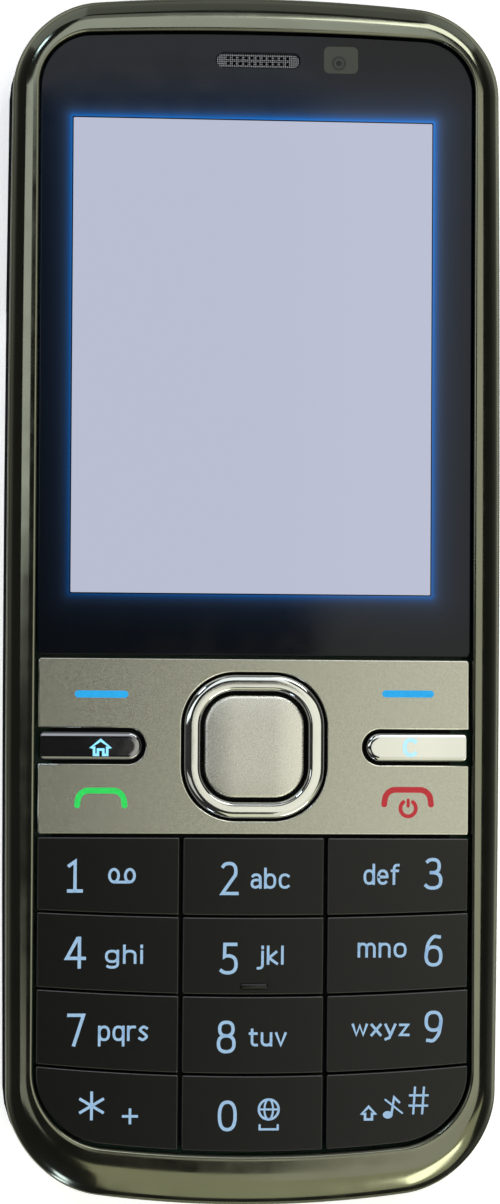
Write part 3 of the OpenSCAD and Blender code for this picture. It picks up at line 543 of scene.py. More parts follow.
def lens_finish():
    """Coated lens of the rear camera: dark rings round a deep pupil."""
    f = polished("lens_glass", (0.01, 0.009, 0.02), 0.03, 0.0, 0.8)
    d = f.math("ADD", f.length(*f.offset(0, camera_y)), f.math("MULTIPLY", f.noise(2), 0.06 * MM))
    stops = [
        (0.0, (0.002, 0.002, 0.004)), (0.22, (0.003, 0.003, 0.006)),
        (0.25, (0.03, 0.02, 0.075)), (0.36, (0.012, 0.012, 0.03)),
        (0.4, (0.05, 0.05, 0.055)), (0.44, (0.008, 0.008, 0.01)),
        (0.62, (0.012, 0.012, 0.014)), (0.66, (0.045, 0.045, 0.05)),
        (0.7, (0.006, 0.006, 0.008)),
    ]
    return f.feed(f.ramp(f.math("DIVIDE", d, camera_r * MM), stops), "Base Color")


def screen_finish():
    """The lit display under the glossy window, with its fine dots."""
    f = Finish("display", 0.07, specular=0.15)
    dots = f.add("ShaderNodeTexChecker")
    dots.inputs["Scale"].default_value = 1 / (0.14 * MM)
    tone = srgb(187, 191, 212)
    dots.inputs["Color1"].default_value = (*tone, 1.0)
    dots.inputs["Color2"].default_value = (*[c * 0.97 for c in tone], 1.0)
    f.link(f.coords, dots.inputs["Vector"])
    f.set(Base_Color=(0.01, 0.01, 0.012, 1.0), Emission_Strength=0.99)
    return f.feed(dots.outputs["Color"], "Emission Color")


def satin_finish(name, tone, rough):
    """Champagne satin metal with a fine sparkle."""
    f = Finish(name, rough, 1.0)
    fac = f.noise(0.1, 2.0)
    f.tones(fac, tone, 0.12).rough_between(fac, rough * 0.9, rough * 1.1)
    return f.bump(fac, 0.0006)


def brushed(name, tone, rough):
    """Metal brushed along the body."""
    f = Finish(name, rough, 1.0)
    fac = f.noise(0.09, 5.0, (1, 0.004, 1))
    f.tones(fac, tone, 0.1).rough_between(fac, rough * 0.85, rough * 1.15)
    return f.bump(fac, 0.0015)


finishes = {
    "smoked_chrome": polished(
        "smoked_chrome", (0.148, 0.153, 0.115), 0.1, edge_tone=(0.3, 0.3, 0.28)),
    "bright_chrome": polished("bright_chrome", (0.52, 0.53, 0.5), 0.05),
    "window_gloss": window_finish(),
    "display": screen_finish(),
    "satin_metal": satin_finish("satin_metal", (0.39, 0.395, 0.335), 0.2),
    # The home key is the clear key's chrome made dark: its dark tone is painted shade, for the dark
    # surroundings it mirrors.
    "dark_gloss": polished("dark_gloss", (0.2, 0.2, 0.21), 0.04),
    "key_matte": grained(
        "key_matte", srgb(8, 8, 7), 0.2, size=0.1, vary=0.4, depth=0.0012, specular=0.31),
    "silicone": grained("silicone", (0.01, 0.01, 0.011), 0.7),
    "adhesive": grained("adhesive", (0.01, 0.01, 0.01), 0.8),
    "mesh": woven("mesh", (0.2, 0.2, 0.215), (0.02, 0.02, 0.022), 0.14),
    "lens_black": grained("lens_black", (0.012, 0.012, 0.015), 0.4),
    "lens_glass": lens_finish(),
    "black_plastic": grained(
        "black_plastic", (0.02, 0.02, 0.021), 0.62, size=0.14, depth=0.006, specular=0.0),
    "panel_gloss": polished("panel_gloss", (0.008, 0.008, 0.01), 0.06, 0.0),
    "speaker": grained("speaker", (0.03, 0.03, 0.032), 0.6),
    "board": grained("board", (0.02, 0.12, 0.06), 0.4, size=0.5, vary=0.25),
    "tin": grained("tin", (0.55, 0.55, 0.56), 0.3, 1.0, size=0.2, vary=0.08),
    "gold": grained("gold", (0.75, 0.52, 0.18), 0.25, 1.0, size=0.2, vary=0.08),
    "led": grained("led", (0.8, 0.74, 0.45), 0.2, size=0.3, vary=0.1),
    "battery": grained("battery", (0.045, 0.05, 0.06), 0.45, size=0.3, vary=0.15),
    "cover_steel": brushed("cover_steel", (0.42, 0.41, 0.38), 0.32),
    "socket_black": grained("socket_black", (0.012, 0.012, 0.012), 0.5),
    "heavy_metal": grained("heavy_metal", (0.4, 0.38, 0.35), 0.4, 1.0, size=0.2),
    "inner_grey": grained("inner_grey", (0.08, 0.08, 0.085), 0.6),
}
lens_window = lens_window_finish()
# The select key shares the plates' satin metal; this lighter copy of it is painted light on the
# select key.
lit_pad_satin = satin_finish("lit_pad_satin", (0.58, 0.575, 0.52), 0.27)
# Rounded edges of the function plates: glossier, and lighter in tone than the plate, a painted
# highlight along the edges.
satin_rim_highlight = satin_finish("satin_rim_highlight", (0.5, 0.5, 0.44), 0.12)
# Rounded edges of the number keys: glossier, and lighter in tone than the tops, a painted highlight
# along the edges.
key_rim_highlight = grained("key_rim_highlight", srgb(14, 14, 13), 0.14, size=0.1, depth=0.0008, specular=1.0)
prints = {
    "legend": glowing("legend_print", srgb(146, 180, 212), 0.68),
    "soft": glowing("soft_key_print", srgb(0, 150, 214), 0.85),
    "call": glowing("call_print", srgb(24, 204, 82), 0.7),
    "end": glowing("end_print", srgb(184, 28, 40), 0.55),
    "home": glowing("home_print", srgb(135, 215, 250), 0.9),
    "clear": glowing("clear_print", srgb(170, 222, 250), 0.8),
}


def dress(obj, slot, body, *replaced, finish=None):
    """Material, slot and body of a piece, and the nodes it stands for."""
    obj.data.materials.append((finish or finishes[slot]).material)
    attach(obj, body)
    if replaced:
        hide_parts(*replaced)
    return obj


for sub in frame["record"]["subparts"]:
    cad = nodes[sub["node"]]
    cad.data.materials.clear()
    cad.data.materials.append(finishes[sub["material_slot"]].material)
black_steel = grained("black_steel", (0.012, 0.012, 0.013), 0.45, size=0.15)
nodes["case_screws"].data.materials[0] = black_steel.material


# Frame round the front

# Inset and height above the seam of the lower edge, then the section as the share of the way
# from the outline to the opening and the height from the front
seam_edge = [(0.24, 0.0), (0.17, 0.03), (0.13, 0.15)]
frame_profile = [
    (0.02, -2.75), (0.002, -1.7), (0.007, -1.22), (0.03, -0.95), (0.07, -0.84), (0.2, -0.56),
    (0.42, -0.225), (0.55, -0.1), (0.68, -0.03), (0.8, -0.004), (0.91, 0), (0.965, -0.05),
    (1, -0.25),
]
mic_x, mic_z, mic_r = 6.0, 9.25, 0.4


def bored(obj, x, z, r, y0, y1):
    """Bores a round hole along y through a piece."""
    ring = np.array([(x + r * cos(a), z + r * sin(a)) for a in np.linspace(0, 2 * pi, 33)[:-1]])
    rings = [np.column_stack([ring[:, 0], np.full(32, y), ring[:, 1]]) for y in (y1, y0)]
    tool = loft("tool", rings)
    cutter = obj.modifiers.new("bore", "BOOLEAN")
    cutter.operation, cutter.solver, cutter.object = "DIFFERENCE", "EXACT", tool
    graph = bpy.context.evaluated_depsgraph_get()
    mesh = bpy.data.meshes.new_from_object(obj.evaluated_get(graph))
    obj.modifiers.remove(cutter)
    obj.data = mesh
    bpy.data.objects.remove(tool)


def build_frame():
    o, p = outer(0), opening(0)
    rings = [at(outer(d), z_seam + z) for d, z in seam_edge]
    rings += [at(o * (1 - s) + p * s, z_front + dz) for s, dz in smooth_curve(frame_profile, 7)]
    rings += [at(p, z_ledge), at(outer(wall), z_ledge), at(outer(wall), z_seam)]
    obj = loft("frame", rings, loop=True)
    bored(obj, mic_x, mic_z, mic_r, -half_l - 1, -half_l + wall + 1.5)
    obj.data.set_sharp_from_angle(angle=radians(40))
    dress(obj, "smoked_chrome", "body", "front_cover")


build_frame()


# Window, with the lit display and the small lens behind it


def build_window():
    screen = rounded(
        display_x - display_w / 2, display_x + display_w / 2,
        display_y - display_h / 2, display_y + display_h / 2, 0.08, 3)
    x, y = lens_x + lens_shift[0], ear_y + lens_shift[1]
    lens = rounded(x - lens_w / 2, x + lens_w / 2, y - lens_h / 2, y + lens_h / 2, lens_r, 6)
    slot = rounded(-ear_l / 2, ear_l / 2, ear_y - ear_h / 2, ear_y + ear_h / 2, ear_h / 2 - 0.01)
    obj = plate("window", window_shape(0.15), z_window - window_t, z_window, 0.1,
                holes=[slot], patches=[screen, lens])
    dress(obj, "window_gloss", "body", "display_window")
    obj.data.materials.append(finishes["display"].material)
    obj.data.materials.append(lens_window.material)


build_window()


# Function plate, navigation key and bar keys

seam, plate_edge = 0.003, 0.09


def build_function_keys():
    slot_h = bar_key_h / 2 + key_gap
    cx = bar_in + bar_key_h / 2
    hole = navi_shape(navi_w + 2 * key_gap, navi_h + 2 * key_gap, navi_r + key_gap, 0)
    right = hole[hole[:, 0] > seam]
    right = right[np.argsort(-np.arctan2(right[:, 1] - navi_y, right[:, 0]))]
    a = np.linspace(-pi / 2, -3 * pi / 2, 25)[:, None]
    end = np.array([cx, navi_y]) + slot_h * np.column_stack([np.cos(a), np.sin(a)])
    half = np.concatenate([
        [(seam, plate_bottom)],
        corner(key_w - plate_corner_r, plate_bottom + plate_corner_r, plate_corner_r, 270, 8),
        [(key_w, navi_y - slot_h)], end, [(key_w, navi_y + slot_h)],
        corner(key_w - plate_corner_r, plate_top - plate_corner_r, plate_corner_r, 0, 8),
        [(seam, plate_top), (seam, right[0, 1])], right, [(seam, right[-1, 1])],
    ])
    for side, outline in (("right", half), ("left", mirror_x(half))):
        obj = plate(side + "_function_plate", outline, z_key_base, z_plate, plate_edge,
                    cut=2 * seam, rim=1)
        dress(obj, "satin_metal", side + "_function_key", side + "_function_key")
        obj.data.materials.append(satin_rim_highlight.material)


# Inset and height of the bar keys' edge from the plate, and of the ring from its base
bar_profile = [
    (0, -0.3), (0.02, -0.12), (0.07, 0.0), (0.15, 0.07),
    (0.27, 0.115), (0.42, 0.138), (0.6, 0.1445), (1.15, 0.145),
]
ring_profile = [
    (-0.1, 0), (-0.1, 0.8), (-0.085, 0.98), (-0.04, 1.1), (0.05, 1.19), (0.2, 1.255),
    (0.38, 1.288), (0.52, 1.298), (0.7, 1.3), (0.95, 1.3), (1.1, 1.297), (1.2, 1.28),
    (1.34, 1.2), (1.45, 1.03), (1.5, 0.75), (1.5, 0),
]
pad_edge = [(0, -0.2), (0.02, -0.1), (0.07, -0.02)]
dome_h, dome_w = 0.09, 2.8


def build_bar_keys():
    profile = [(0, z_key_base)] + [(d, z_plate + z) for d, z in smooth_curve(bar_profile, 5)]
    # The home key takes a dark copy of the clear key's chrome: painted shade.
    for name, slot, turn in (("clear_key", "bright_chrome", 1), ("home_key", "dark_gloss", -1)):
        shapes = [(bar_shape(d), z) for d, z in profile]
        rings = [at(s if turn > 0 else mirror_x(s), z) for s, z in shapes]
        dress(loft(name + "_bar", rings), slot, name, name)


def build_navi():
    rings = [at(navi_shape(navi_w, navi_h, navi_r, d), z_ring + z)
             for d, z in smooth_curve(ring_profile, 6)]
    ring = loft("navi_band", rings, loop=True)
    ring.data.set_sharp_from_angle(angle=radians(50))
    dress(ring, "bright_chrome", "navi_ring", "navi_ring")
    dome = [(d, dome_h * (1 - (1 - d / dome_w) ** 2)) for d in np.linspace(0.14, dome_w, 14)]
    profile = [(0, z_key_base)] + [(d, z_plate + z) for d, z in pad_edge + dome]
    rings = [at(navi_shape(select_w, select_h, select_r, d), z) for d, z in profile]
    dress(loft("select_pad", rings), "satin_metal", "select_key", "select_key", finish=lit_pad_satin)


build_function_keys()
build_bar_keys()
build_navi()


# Number keys

keys = ["key_1", "key_2", "key_3", "key_4", "key_5", "key_6", "key_7", "key_8", "key_9",
        "key_star", "key_0", "key_hash"]
slope = key_fall / row_pitch


def key_height(i, y):
    """Height of a key's falling top in row i."""
    return z_key - slope * (row_y(i) - y)


def build_number_keys():
    for k, name in enumerate(keys):
        c, i = k % 3 - 1, k // 3
        base = key_shape(c, i, 0)
        rings = [at(base, z_key_base)]
        for d, e in edge_profile(key_edge, 6):
            pts = key_shape(c, i, d)
            rings.append(at(pts, key_height(i, pts[:, 1]) - e))
        cap = loft(name + "_cap", rings)
        n = len(base)
        # The rounded edges take the lighter rim material, with its painted highlight.
        for face in cap.data.polygons[n:(len(rings) - 1) * n]:
            face.material_index = 1
        dress(cap, "key_matte", name, name)
        cap.data.materials.append(key_rim_highlight.material)


build_number_keys()


# Legends: digits and letters as text and box, marks as strokes

digit_w, letter_w, letter_gap = 0.31, 0.24, 0.42
sign_w = {"key_star": 0.26, "key_hash": 0.2}
digits = {
    "key_1": ("1", (-17.26, -15.79, -27.2, -24.17)),
    "key_2": ("2", (-3.04, -1.37, -27.4, -24.32)),
    "key_3": ("3", (15.95, 17.63, -26.86, -23.9)),
    "key_4": ("4", (-17.4, -15.47, -34.18, -31.24)),
    "key_5": ("5", (-3.09, -1.42, -34.72, -31.78)),
    "key_6": ("6", (15.98, 17.67, -33.98, -31.02)),
    "key_7": ("7", (-17.16, -15.51, -41.33, -38.3)),
    "key_8": ("8", (-3.32, -1.57, -41.99, -38.96)),
    "key_9": ("9", (16.01, 17.7, -41.01, -38.05)),
    "key_star": ("*", (-16.01, -13.71, -48.1, -45.45)),
    "key_0": ("0", (-3.19, -1.43, -49.16, -46.31)),
    "key_hash": ("#", (14.55, 16.42, -47.65, -45.07)),
}
letters = {
    "key_2": ("abc", (-0.26, 3.36, -26.8, -24.86)),
    "key_3": ("def", (10.25, 13.61, -26.41, -24.46)),
    "key_4": ("ghi", (-13.71, -10.21, -34.18, -31.97)),
    "key_5": ("jkl", (0.34, 2.84, -34.26, -32.05)),
    "key_6": ("mno", (9.73, 14.3, -33.15, -31.77)),
    "key_7": ("pqrs", (-14.31, -9.7, -41.33, -39.41)),
    "key_8": ("tuv", (-0.36, 3.16, -41.35, -39.7)),
    "key_9": ("wxyz", (9.21, 14.62, -40.81, -39.25)),
    "key_star": ("+", (-12.05, -10.57, -48.48, -47.02)),
}
# Middle, half length and height of the soft key line, height and print of the call mark
function_marks = {
    "left": (-14.2, 2.15, -8.9, -17.8, "call"),
    "right": (14.33, 2.1, -8.7, -17.6, "end"),
}
house_box, clear_box = (-15.15, -13.37, -14.5, -13.14), (13.84, 15.15, -14.55, -12.79)
touch_bar, touch_r = (-1.22, 1.47, -36.14, -35.5), 0.31


def boxed(points, box):
    """Points of a unit square moved into a box."""
    x0, x1, y0, y1 = box
    return np.array(points, float) * [x1 - x0, y1 - y0] + [x0, y0]


def bowl(cx, cy, rx, ry, start, end, n=14):
    """Part of a squarish oval."""
    a = np.radians(np.linspace(start, end, n + 1))
    c, s = (np.sign(v) * np.abs(v) ** 0.82 for v in (np.cos(a), np.sin(a)))
    return np.column_stack([cx + rx * c, cy + ry * s])


def path(*parts):
    return np.concatenate([np.atleast_2d(np.array(p, float)) for p in parts])


def oval(cx, cy, rx, ry):
    return bowl(cx, cy, rx, ry, 0, 360, 28)[:-1]


def glyph(sign):
    """Open and closed lines of a sign; letters stand on y = 0 and are 1 high without stems."""
    stem, tall = [(0, 1), (0, 0)], [(0, 1.45), (0, 0)]
    arch = path((0, 0.5), bowl(0.35, 0.6, 0.35, 0.4, 180, 0), (0.7, 0))
    round_o = oval(0.39, 0.5, 0.39, 0.5)
    six = smooth_curve([(0.88, 0.97), (0.5, 0.97), (0.13, 0.72), (0.0, 0.3)], 6)
    nine = 1 - six
    table = {
        "a": ([path(bowl(0.34, 0.64, 0.34, 0.36, 140, 0), (0.68, 0)),
               path((0.68, 0.58), bowl(0.32, 0.29, 0.32, 0.29, 90, 270), (0.68, 0.16))], []),
        "b": ([tall], [round_o]), "c": ([bowl(0.4, 0.5, 0.4, 0.5, 48, 312)], []),
        "d": ([[(0.78, 1.45), (0.78, 0)]], [round_o]),
        "e": ([path((0.04, 0.52), (0.76, 0.52), bowl(0.38, 0.5, 0.38, 0.5, 8, 312, 20))], []),
        "f": ([path(bowl(0.48, 1.12, 0.3, 0.33, 80, 180), (0.18, 0)), [(0, 1), (0.5, 1)]], []),
        "g": ([path((0.74, 1), bowl(0.37, -0.08, 0.37, 0.34, 0, -135))],
              [oval(0.37, 0.54, 0.37, 0.46)]),
        "h": ([tall, arch], []), "i": ([stem, [(0, 1.36), (0, 1.45)]], []),
        "j": ([path((0.3, 1), bowl(0, -0.1, 0.3, 0.32, 0, -95)), [(0.3, 1.36), (0.3, 1.45)]], []),
        "k": ([tall, [(0.6, 1), (0.06, 0.48), (0.66, 0)]], []), "l": ([tall], []),
        "m": ([stem, path((0, 0.5), bowl(0.29, 0.6, 0.29, 0.4, 180, 0), (0.58, 0)),
               path((0.58, 0.5), bowl(0.87, 0.6, 0.29, 0.4, 180, 0), (1.16, 0))], []),
        "n": ([stem, arch], []), "o": ([], [round_o]),
        "p": ([[(0, 1), (0, -0.42)]], [round_o]), "q": ([[(0.78, 1), (0.78, -0.42)]], [round_o]),
        "r": ([stem, path((0, 0.5), bowl(0.42, 0.58, 0.42, 0.42, 180, 80))], []),
        "s": ([smooth_curve([(0.58, 0.9), (0.3, 1), (0.03, 0.76), (0.3, 0.52), (0.58, 0.25),
                             (0.28, 0), (0, 0.1)], 5)], []),
        "t": ([path((0.16, 1.32), bowl(0.46, 0.3, 0.3, 0.3, 180, 280)), [(0, 1), (0.5, 1)]], []),
        "u": ([path((0, 1), bowl(0.36, 0.4, 0.36, 0.4, 180, 350)), [(0.72, 1), (0.72, 0)]], []),
        "v": ([[(0, 1), (0.36, 0), (0.72, 1)]], []),
        "w": ([[(0, 1), (0.27, 0), (0.54, 0.95), (0.81, 0), (1.08, 1)]], []),
        "x": ([[(0, 1), (0.68, 0)], [(0.68, 1), (0, 0)]], []),
        "y": ([[(0, 1), (0.38, 0)], [(0.74, 1), (0.3, -0.28), (0.02, -0.42)]], []),
        "z": ([[(0, 1), (0.6, 1), (0, 0), (0.64, 0)]], []),
        "0": ([], [oval(0.5, 0.5, 0.5, 0.5)]),
        "1": ([[(0.04, 0.86), (0.5, 1), (0.5, 0)], [(0, 0), (1, 0)]], []),
        "2": ([path(bowl(0.44, 0.74, 0.47, 0.26, 145, -25), (0, 0), (1, 0))], []),
        "3": ([path(bowl(0.4, 0.77, 0.46, 0.23, 140, -90), (0.3, 0.54)),
               path((0.3, 0.54), bowl(0.4, 0.27, 0.58, 0.27, 90, -140))], []),
        "4": ([[(0.6, 0.98), (0, 0.3), (1, 0.3)], [(0.72, 1), (0.72, 0)]], []),
        "5": ([path((0.94, 1), (0.14, 1), (0.12, 0.57),
                    bowl(0.36, 0.3, 0.62, 0.3, 100, -135))], []),
        "6": ([six], [oval(0.5, 0.31, 0.5, 0.31)]), "7": ([[(0, 1), (1, 1), (0.36, 0)]], []),
        "8": ([], [oval(0.5, 0.77, 0.43, 0.23), oval(0.5, 0.27, 0.5, 0.27)]),
        "9": ([nine], [oval(0.5, 0.69, 0.5, 0.31)]),
        "*": ([[(0.5, 0), (0.5, 1)], [(0.02, 0.25), (0.98, 0.75)],
               [(0.02, 0.75), (0.98, 0.25)]], []),
        "#": ([[(0.22, 0), (0.3, 1)], [(0.7, 0), (0.78, 1)], [(0.02, 0.3), (0.96, 0.3)],
               [(0.04, 0.7), (0.98, 0.7)]], []),
        "+": ([[(0.5, 0), (0.5, 1)], [(0, 0.5), (1, 0.5)]], []),
    }
    return [[np.array(line, float) for line in lines] for lines in table[sign]]


def word(text, box, width):
    """Signs in a row, drawn with lines of that width to fill a box."""
    lines, start = [], 0.0
    for sign in text:
        signs = [(line + [start, 0], closed)
                 for closed, group in enumerate(glyph(sign)) for line in group]
        lines += signs
        start = max(line[:, 0].max() for line, _ in signs) + letter_gap
    every = np.concatenate([line for line, _ in lines])
    low, size = every.min(0), np.maximum(np.ptp(every, axis=0), 1e-6)
    x0, x1, y0, y1 = box
    inner = (x0 + width / 2, x1 - width / 2, y0 + width / 2, y1 - width / 2)
    return [stroke(boxed((line - low) / size, inner), width, bool(closed), square=True)
            for line, closed in lines]


def marks(name):
    """The small marks on a number key."""
    if name == "key_1":
        reels = (-12.93, -11.46)
        tape = stroke([(x, -26.22) for x in reels], 0.25)
        return [ellipse(x, -25.62, 0.42, 0.58, 0.25) for x in reels] + [tape]
    if name == "key_0":
        x, y, r = 1.53, -47.15, 0.92
        space = boxed([(0, 1), (0, 0), (1, 0), (1, 1)], (0.7, 2.38, -48.99, -48.6))
        return [ellipse(x, y, r, r, 0.22), ellipse(x, y, 0.4, r, 0.18),
                stroke([(x - r, y), (x + r, y)], 0.18), stroke(space, 0.2)]
    if name == "key_hash":
        arrow = [(0.5, 1), (1, 0.45), (0.76, 0.45), (0.76, 0), (0.24, 0), (0.24, 0.45), (0, 0.45)]
        shift = boxed(arrow, (10.2, 11.45, -48.1, -46.93))
        note = (12.2, 14.0, -48.0, -46.0)
        head = arc(12.62, -47.68, 0.46, 0.35, 0, 360)[:-1]
        return [stroke(shift, 0.23, closed=True), fill_loops([head]),
                stroke(boxed([(0.42, 0.16), (0.55, 0.97), (0.82, 0.74)], note), 0.22),
                stroke(boxed([(0.1, 0.86), (0.98, 0.24)], note), 0.17)]
    return []


def plate_height(x, y):
    return z_plate


def bar_height(x, y):
    return z_plate + bar_profile[-1][1]


def build_legends():
    for k, name in enumerate(keys):
        shapes = word(*digits[name], sign_w.get(name, digit_w))
        if name in letters:
            shapes += word(*letters[name], letter_w)
        row = k // 3
        printed(name + "_legend", shapes + marks(name), lambda x, y, row=row: key_height(row, y),
                name, "legend")
    for side, (x, half, line_y, y, tone) in function_marks.items():
        body = side + "_function_key"
        bar = stroke([(x - half, line_y), (x + half, line_y)], 0.66)
        printed(side + "_soft_key_mark", [bar], plate_height, body, "soft")
        bow = np.concatenate([
            [(x - 2.19, y - 1.36)], arc(x - 1.14, y - 1.0, 1.0, 1.0, 175, 90, 10),
            arc(x + 1.14, y - 1.0, 1.0, 1.0, 90, 5, 10), [(x + 2.19, y - 1.36)]])
        shapes = [stroke(bow, 0.54)]
        if tone == "end":
            shapes.append(stroke(arc(x + 0.05, y - 1.72, 0.72, 0.74, 128, 412), 0.36))
            shapes.append(stroke([(x + 0.05, y - 1.5), (x + 0.05, y - 0.95)], 0.3))
        printed(side + "_call_mark", shapes, plate_height, body, tone)
    house = boxed([
        (0, 0.5), (0.5, 1), (1, 0.5), (0.84, 0.5), (0.84, 0), (0.64, 0), (0.64, 0.36),
        (0.36, 0.36), (0.36, 0), (0.16, 0), (0.16, 0.5)], house_box)
    printed("home_mark", [stroke(house, 0.24, closed=True)], bar_height, "home_key", "home")
    printed("clear_mark", word("c", clear_box, 0.36), bar_height, "clear_key", "clear")


def build_touch_bar():
    """The raised bar by which the middle key is felt."""
    x0, x1, y0, y1 = touch_bar
    rings = []
    for d, z in smooth_curve([(0, -0.1), (0.02, 0.05), (0.1, 0.14), (0.25, 0.18)], 4):
        pts = rounded(x0 + d, x1 - d, y0 + d, y1 - d, touch_r - d, 8)
        rings.append(at(pts, key_height(1, pts[:, 1]) + z))
    dress(loft("key_5_touch_bar", rings), "key_matte", "key_5")


build_legends()
build_touch_bar()


# Solids of the part that stay: welded, with softened edges and smooth curves


def smooth_group():
    """Smooth shading with sharp edges above 32 degrees."""
    group = bpy.data.node_groups.new("smooth by angle", "GeometryNodeTree")
    group.interface.new_socket("Geometry", in_out="INPUT", socket_type="NodeSocketGeometry")
    group.interface.new_socket("Geometry", in_out="OUTPUT", socket_type="NodeSocketGeometry")
    start, end = group.nodes.new("NodeGroupInput"), group.nodes.new("NodeGroupOutput")
    angle = group.nodes.new("GeometryNodeInputMeshEdgeAngle")
    less = group.nodes.new("FunctionNodeCompare")
    less.data_type, less.operation = "FLOAT", "LESS_THAN"
    less.inputs["B"].default_value = radians(32)
    faces, edges = (group.nodes.new("GeometryNodeSetShadeSmooth") for _ in range(2))
    faces.domain, edges.domain = "FACE", "EDGE"
    group.links.new(start.outputs[0], faces.inputs["Geometry"])
    group.links.new(faces.outputs[0], edges.inputs["Geometry"])
    group.links.new(angle.outputs["Unsigned Angle"], less.inputs["A"])
    group.links.new(less.outputs["Result"], edges.inputs["Shade Smooth"])
    group.links.new(edges.outputs[0], end.inputs[0])
    return group


smooth = smooth_group()
edge_radius = {
    "camera_panel": 0.06, "camera_ring": 0.12, "camera_glass": 0.08, "flash_led": 0.08,
    "card_door": 0.08, "volume_key": 0.2, "capture_key": 0.2, "power_key": 0.2,
    "usb_socket": 0.04, "battery": 0.35, "sim_holder": 0.06, "case_screws": 0.05,
}


def soften(name):
    obj = nodes[name]
    obj.modifiers.new("weld", "WELD").merge_threshold = 0.002 * MM
    obj.modifiers.new("smooth", "NODES").node_group = smooth
    if name in edge_radius:
        bevel = obj.modifiers.new("edges", "BEVEL")
        bevel.width, bevel.segments, bevel.limit_method = edge_radius[name] * MM, 3, "ANGLE"
        bevel.angle_limit, bevel.harden_normals = radians(40), True


for name in nodes:
    soften(name)


# Floor, light and camera


floor_half, floor_z = 4000, -0.02


def build_stage():
    """A pale floor that keeps the object's shadow; it glows less near the object, a painted shade
    round it, and turns white away from it.
    """
    ends = [(-1, -1), (1, -1), (1, 1), (-1, 1)]
    floor = mesh_object("floor", [(floor_half * x, floor_half * y, floor_z) for x, y in ends],
                        [(0, 1, 2, 3)], smooth=False)
    f = Finish("floor", 0.9, specular=0.0)
    f.tones(f.noise(40), (0.88, 0.88, 0.88), 0.01)
    path = f.add("ShaderNodeLightPath")
    seen = f.math("MAXIMUM", path.outputs["Is Camera Ray"], path.outputs["Is Glossy Ray"])
    seen = f.math("MAXIMUM", seen, path.outputs["Is Transmission Ray"])
    far = f.add("ShaderNodeVectorMath", operation="LENGTH")
    f.link(f.coords, far.inputs[0])
    # The floor's glow is 0.6 within 0.3 m of the object and rises to full white a metre further
    # out: a painted shade round the object.
    rise = f.math("MULTIPLY", f.math("SUBTRACT", far.outputs["Value"], 0.3), 0.4, clamp=True)
    white = f.math("MINIMUM", f.math("ADD", rise, 0.6), 1.0)
    f.set(Emission_Color=(1.0, 1.0, 1.0, 1.0))
    f.feed(f.math("MULTIPLY", seen, white), "Emission Strength")
    floor.data.materials.append(f.material)


lamp_far = 3.0


def ceiling(name, x0, x1, y0, y1, radiance, tone):
    """A level panel of even light; its edges are given as slopes seen from the object."""
    lamp(name, ((x0 + x1) / 2 * lamp_far, (y0 + y1) / 2 * lamp_far, lamp_far), (0, 0, 0),
         (x1 - x0) * lamp_far, (y1 - y0) * lamp_far, radiance, tone)


def wall_light(name, x0, x1, z0, z1, radiance, tone):
    """An upright panel of even light at the far side, with its edges in metres."""
    lamp(name, ((x0 + x1) / 2, lamp_far, (z0 + z1) / 2), (-pi / 2, 0, 0),
         x1 - x0, z1 - z0, radiance, tone)


def lamp(name, place, rotation, width, height, radiance, tone):
    data = bpy.data.lights.new(name, "AREA")
    data.shape = "RECTANGLE"
    data.size, data.size_y = width, height
    data.energy = pi * width * height * radiance
    data.color = tone
    obj = bpy.data.objects.new(name, data)
    obj.location, obj.rotation_euler = place, rotation
    obj.visible_camera = False
    bpy.context.scene.collection.objects.link(obj)


def spark(name, azimuth, elevation, width, height, radiance, tone):
    """A small bright panel that faces the object; its place and size are angles in degrees."""
    a, e = radians(azimuth), radians(elevation)
    place = Vector((cos(a) * cos(e), sin(a) * cos(e), sin(e))) * lamp_far
    turn = place.to_track_quat("Z", "Y").to_euler()
    lamp(name, place, turn, lamp_far * radians(width), lamp_far * radians(height), radiance, tone)


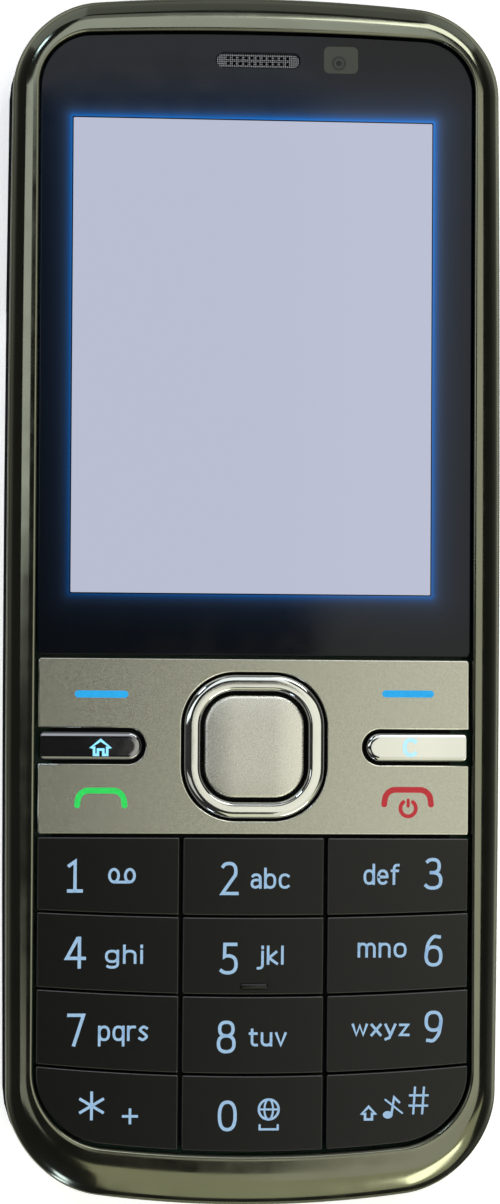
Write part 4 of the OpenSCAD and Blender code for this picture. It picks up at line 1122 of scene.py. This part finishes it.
def build_lights():
    cream, sky, warm = (1.0, 0.985, 0.87), (0.92, 0.96, 1.0), (1.0, 1.0, 0.72)
    ceiling("light_right", 0.118, 0.49, -0.145, 0.2, 1.48, cream)
    ceiling("light_right_near", 0.118, 0.49, -0.53, -0.145, 1.28, cream)
    ceiling("light_right_low", 0.075, 0.118, -0.09, 0.012, 1.4, cream)
    ceiling("light_left", -0.85, -0.115, 0.045, 0.21, 2.0, sky)
    ceiling("light_far", -0.115, 0.21, 0.165, 0.7, 1.75, sky)
    ceiling("light_far_low", -0.115, 0.21, 0.7, 1.1, 0.6, sky)
    ceiling("light_near", -0.03, 1.3, -1.5, -0.33, 1.1, warm)
    wall_light("light_end", -0.3, 0.9, 0.5, 2.0, 0.35, sky)
    wall_light("light_end_left", -3.4, -0.3, 0.5, 2.8, 0.68, sky)
    wall_light("light_end_right", 0.9, 3.4, 0.5, 2.8, 0.68, sky)
    spark("spark_far_left", 128, 49, 8, 8, 12.0, (0.6, 0.78, 1.0))
    spark("spark_far_right", 58, 52, 22, 16, 6.0, (1.0, 1.0, 0.96))
    spark("spark_near_right", -56, 43, 24, 8, 6.5, (1.0, 1.0, 0.8))
    spark("spark_near_left", -114, 31, 7, 7, 10.0, (0.7, 0.82, 1.0))
    ceiling("light_left_low", -0.6, -0.12, -0.26, -0.075, 0.85, (1.0, 1.0, 0.95))
    world = bpy.data.worlds.new("studio")
    world.use_nodes = True
    tree = world.node_tree
    back = tree.nodes["Background"]
    coords = tree.nodes.new("ShaderNodeTexCoord")
    split = tree.nodes.new("ShaderNodeSeparateXYZ")
    ramp = tree.nodes.new("ShaderNodeValToRGB")
    stops = [(0.0, 1.0), (0.03, 0.9), (0.1, 0.42), (0.25, 0.2), (0.42, 0.06), (1.0, 0.04)]
    set_stops(ramp.color_ramp, [(place, (level,) * 3) for place, level in stops])
    tree.links.new(coords.outputs["Generated"], split.inputs["Vector"])
    tree.links.new(split.outputs["Z"], ramp.inputs["Fac"])
    tree.links.new(ramp.outputs["Color"], back.inputs["Color"])
    bpy.context.scene.world = world


# The photograph's viewpoint in millimetres and degrees, and its focal length in pixels
view_place, view_turn = (-40.26, -12.41, 408.0), (-1.727, 5.738, -0.419)
focal_px, frame_px, sensor = 4300, 1204, 36.0


def build_camera():
    """The frame is 500 by 1204, and its long side spans the sensor."""
    data = bpy.data.cameras.new("camera")
    data.sensor_width = sensor
    data.lens = sensor * focal_px / frame_px
    data.clip_start, data.clip_end = 0.01, 20.0
    camera = bpy.data.objects.new("camera", data)
    turn = Vector([radians(a) for a in view_turn])
    rotation = Matrix.Rotation(turn.length, 4, turn).inverted()
    camera.matrix_world = Matrix.Translation(Vector(view_place) * MM) @ rotation
    bpy.context.scene.collection.objects.link(camera)
    bpy.context.scene.camera = camera


build_stage()
build_lights()
build_camera()
bpy.context.scene.view_settings.view_transform = "Standard"

bpy.context.view_layer.update()
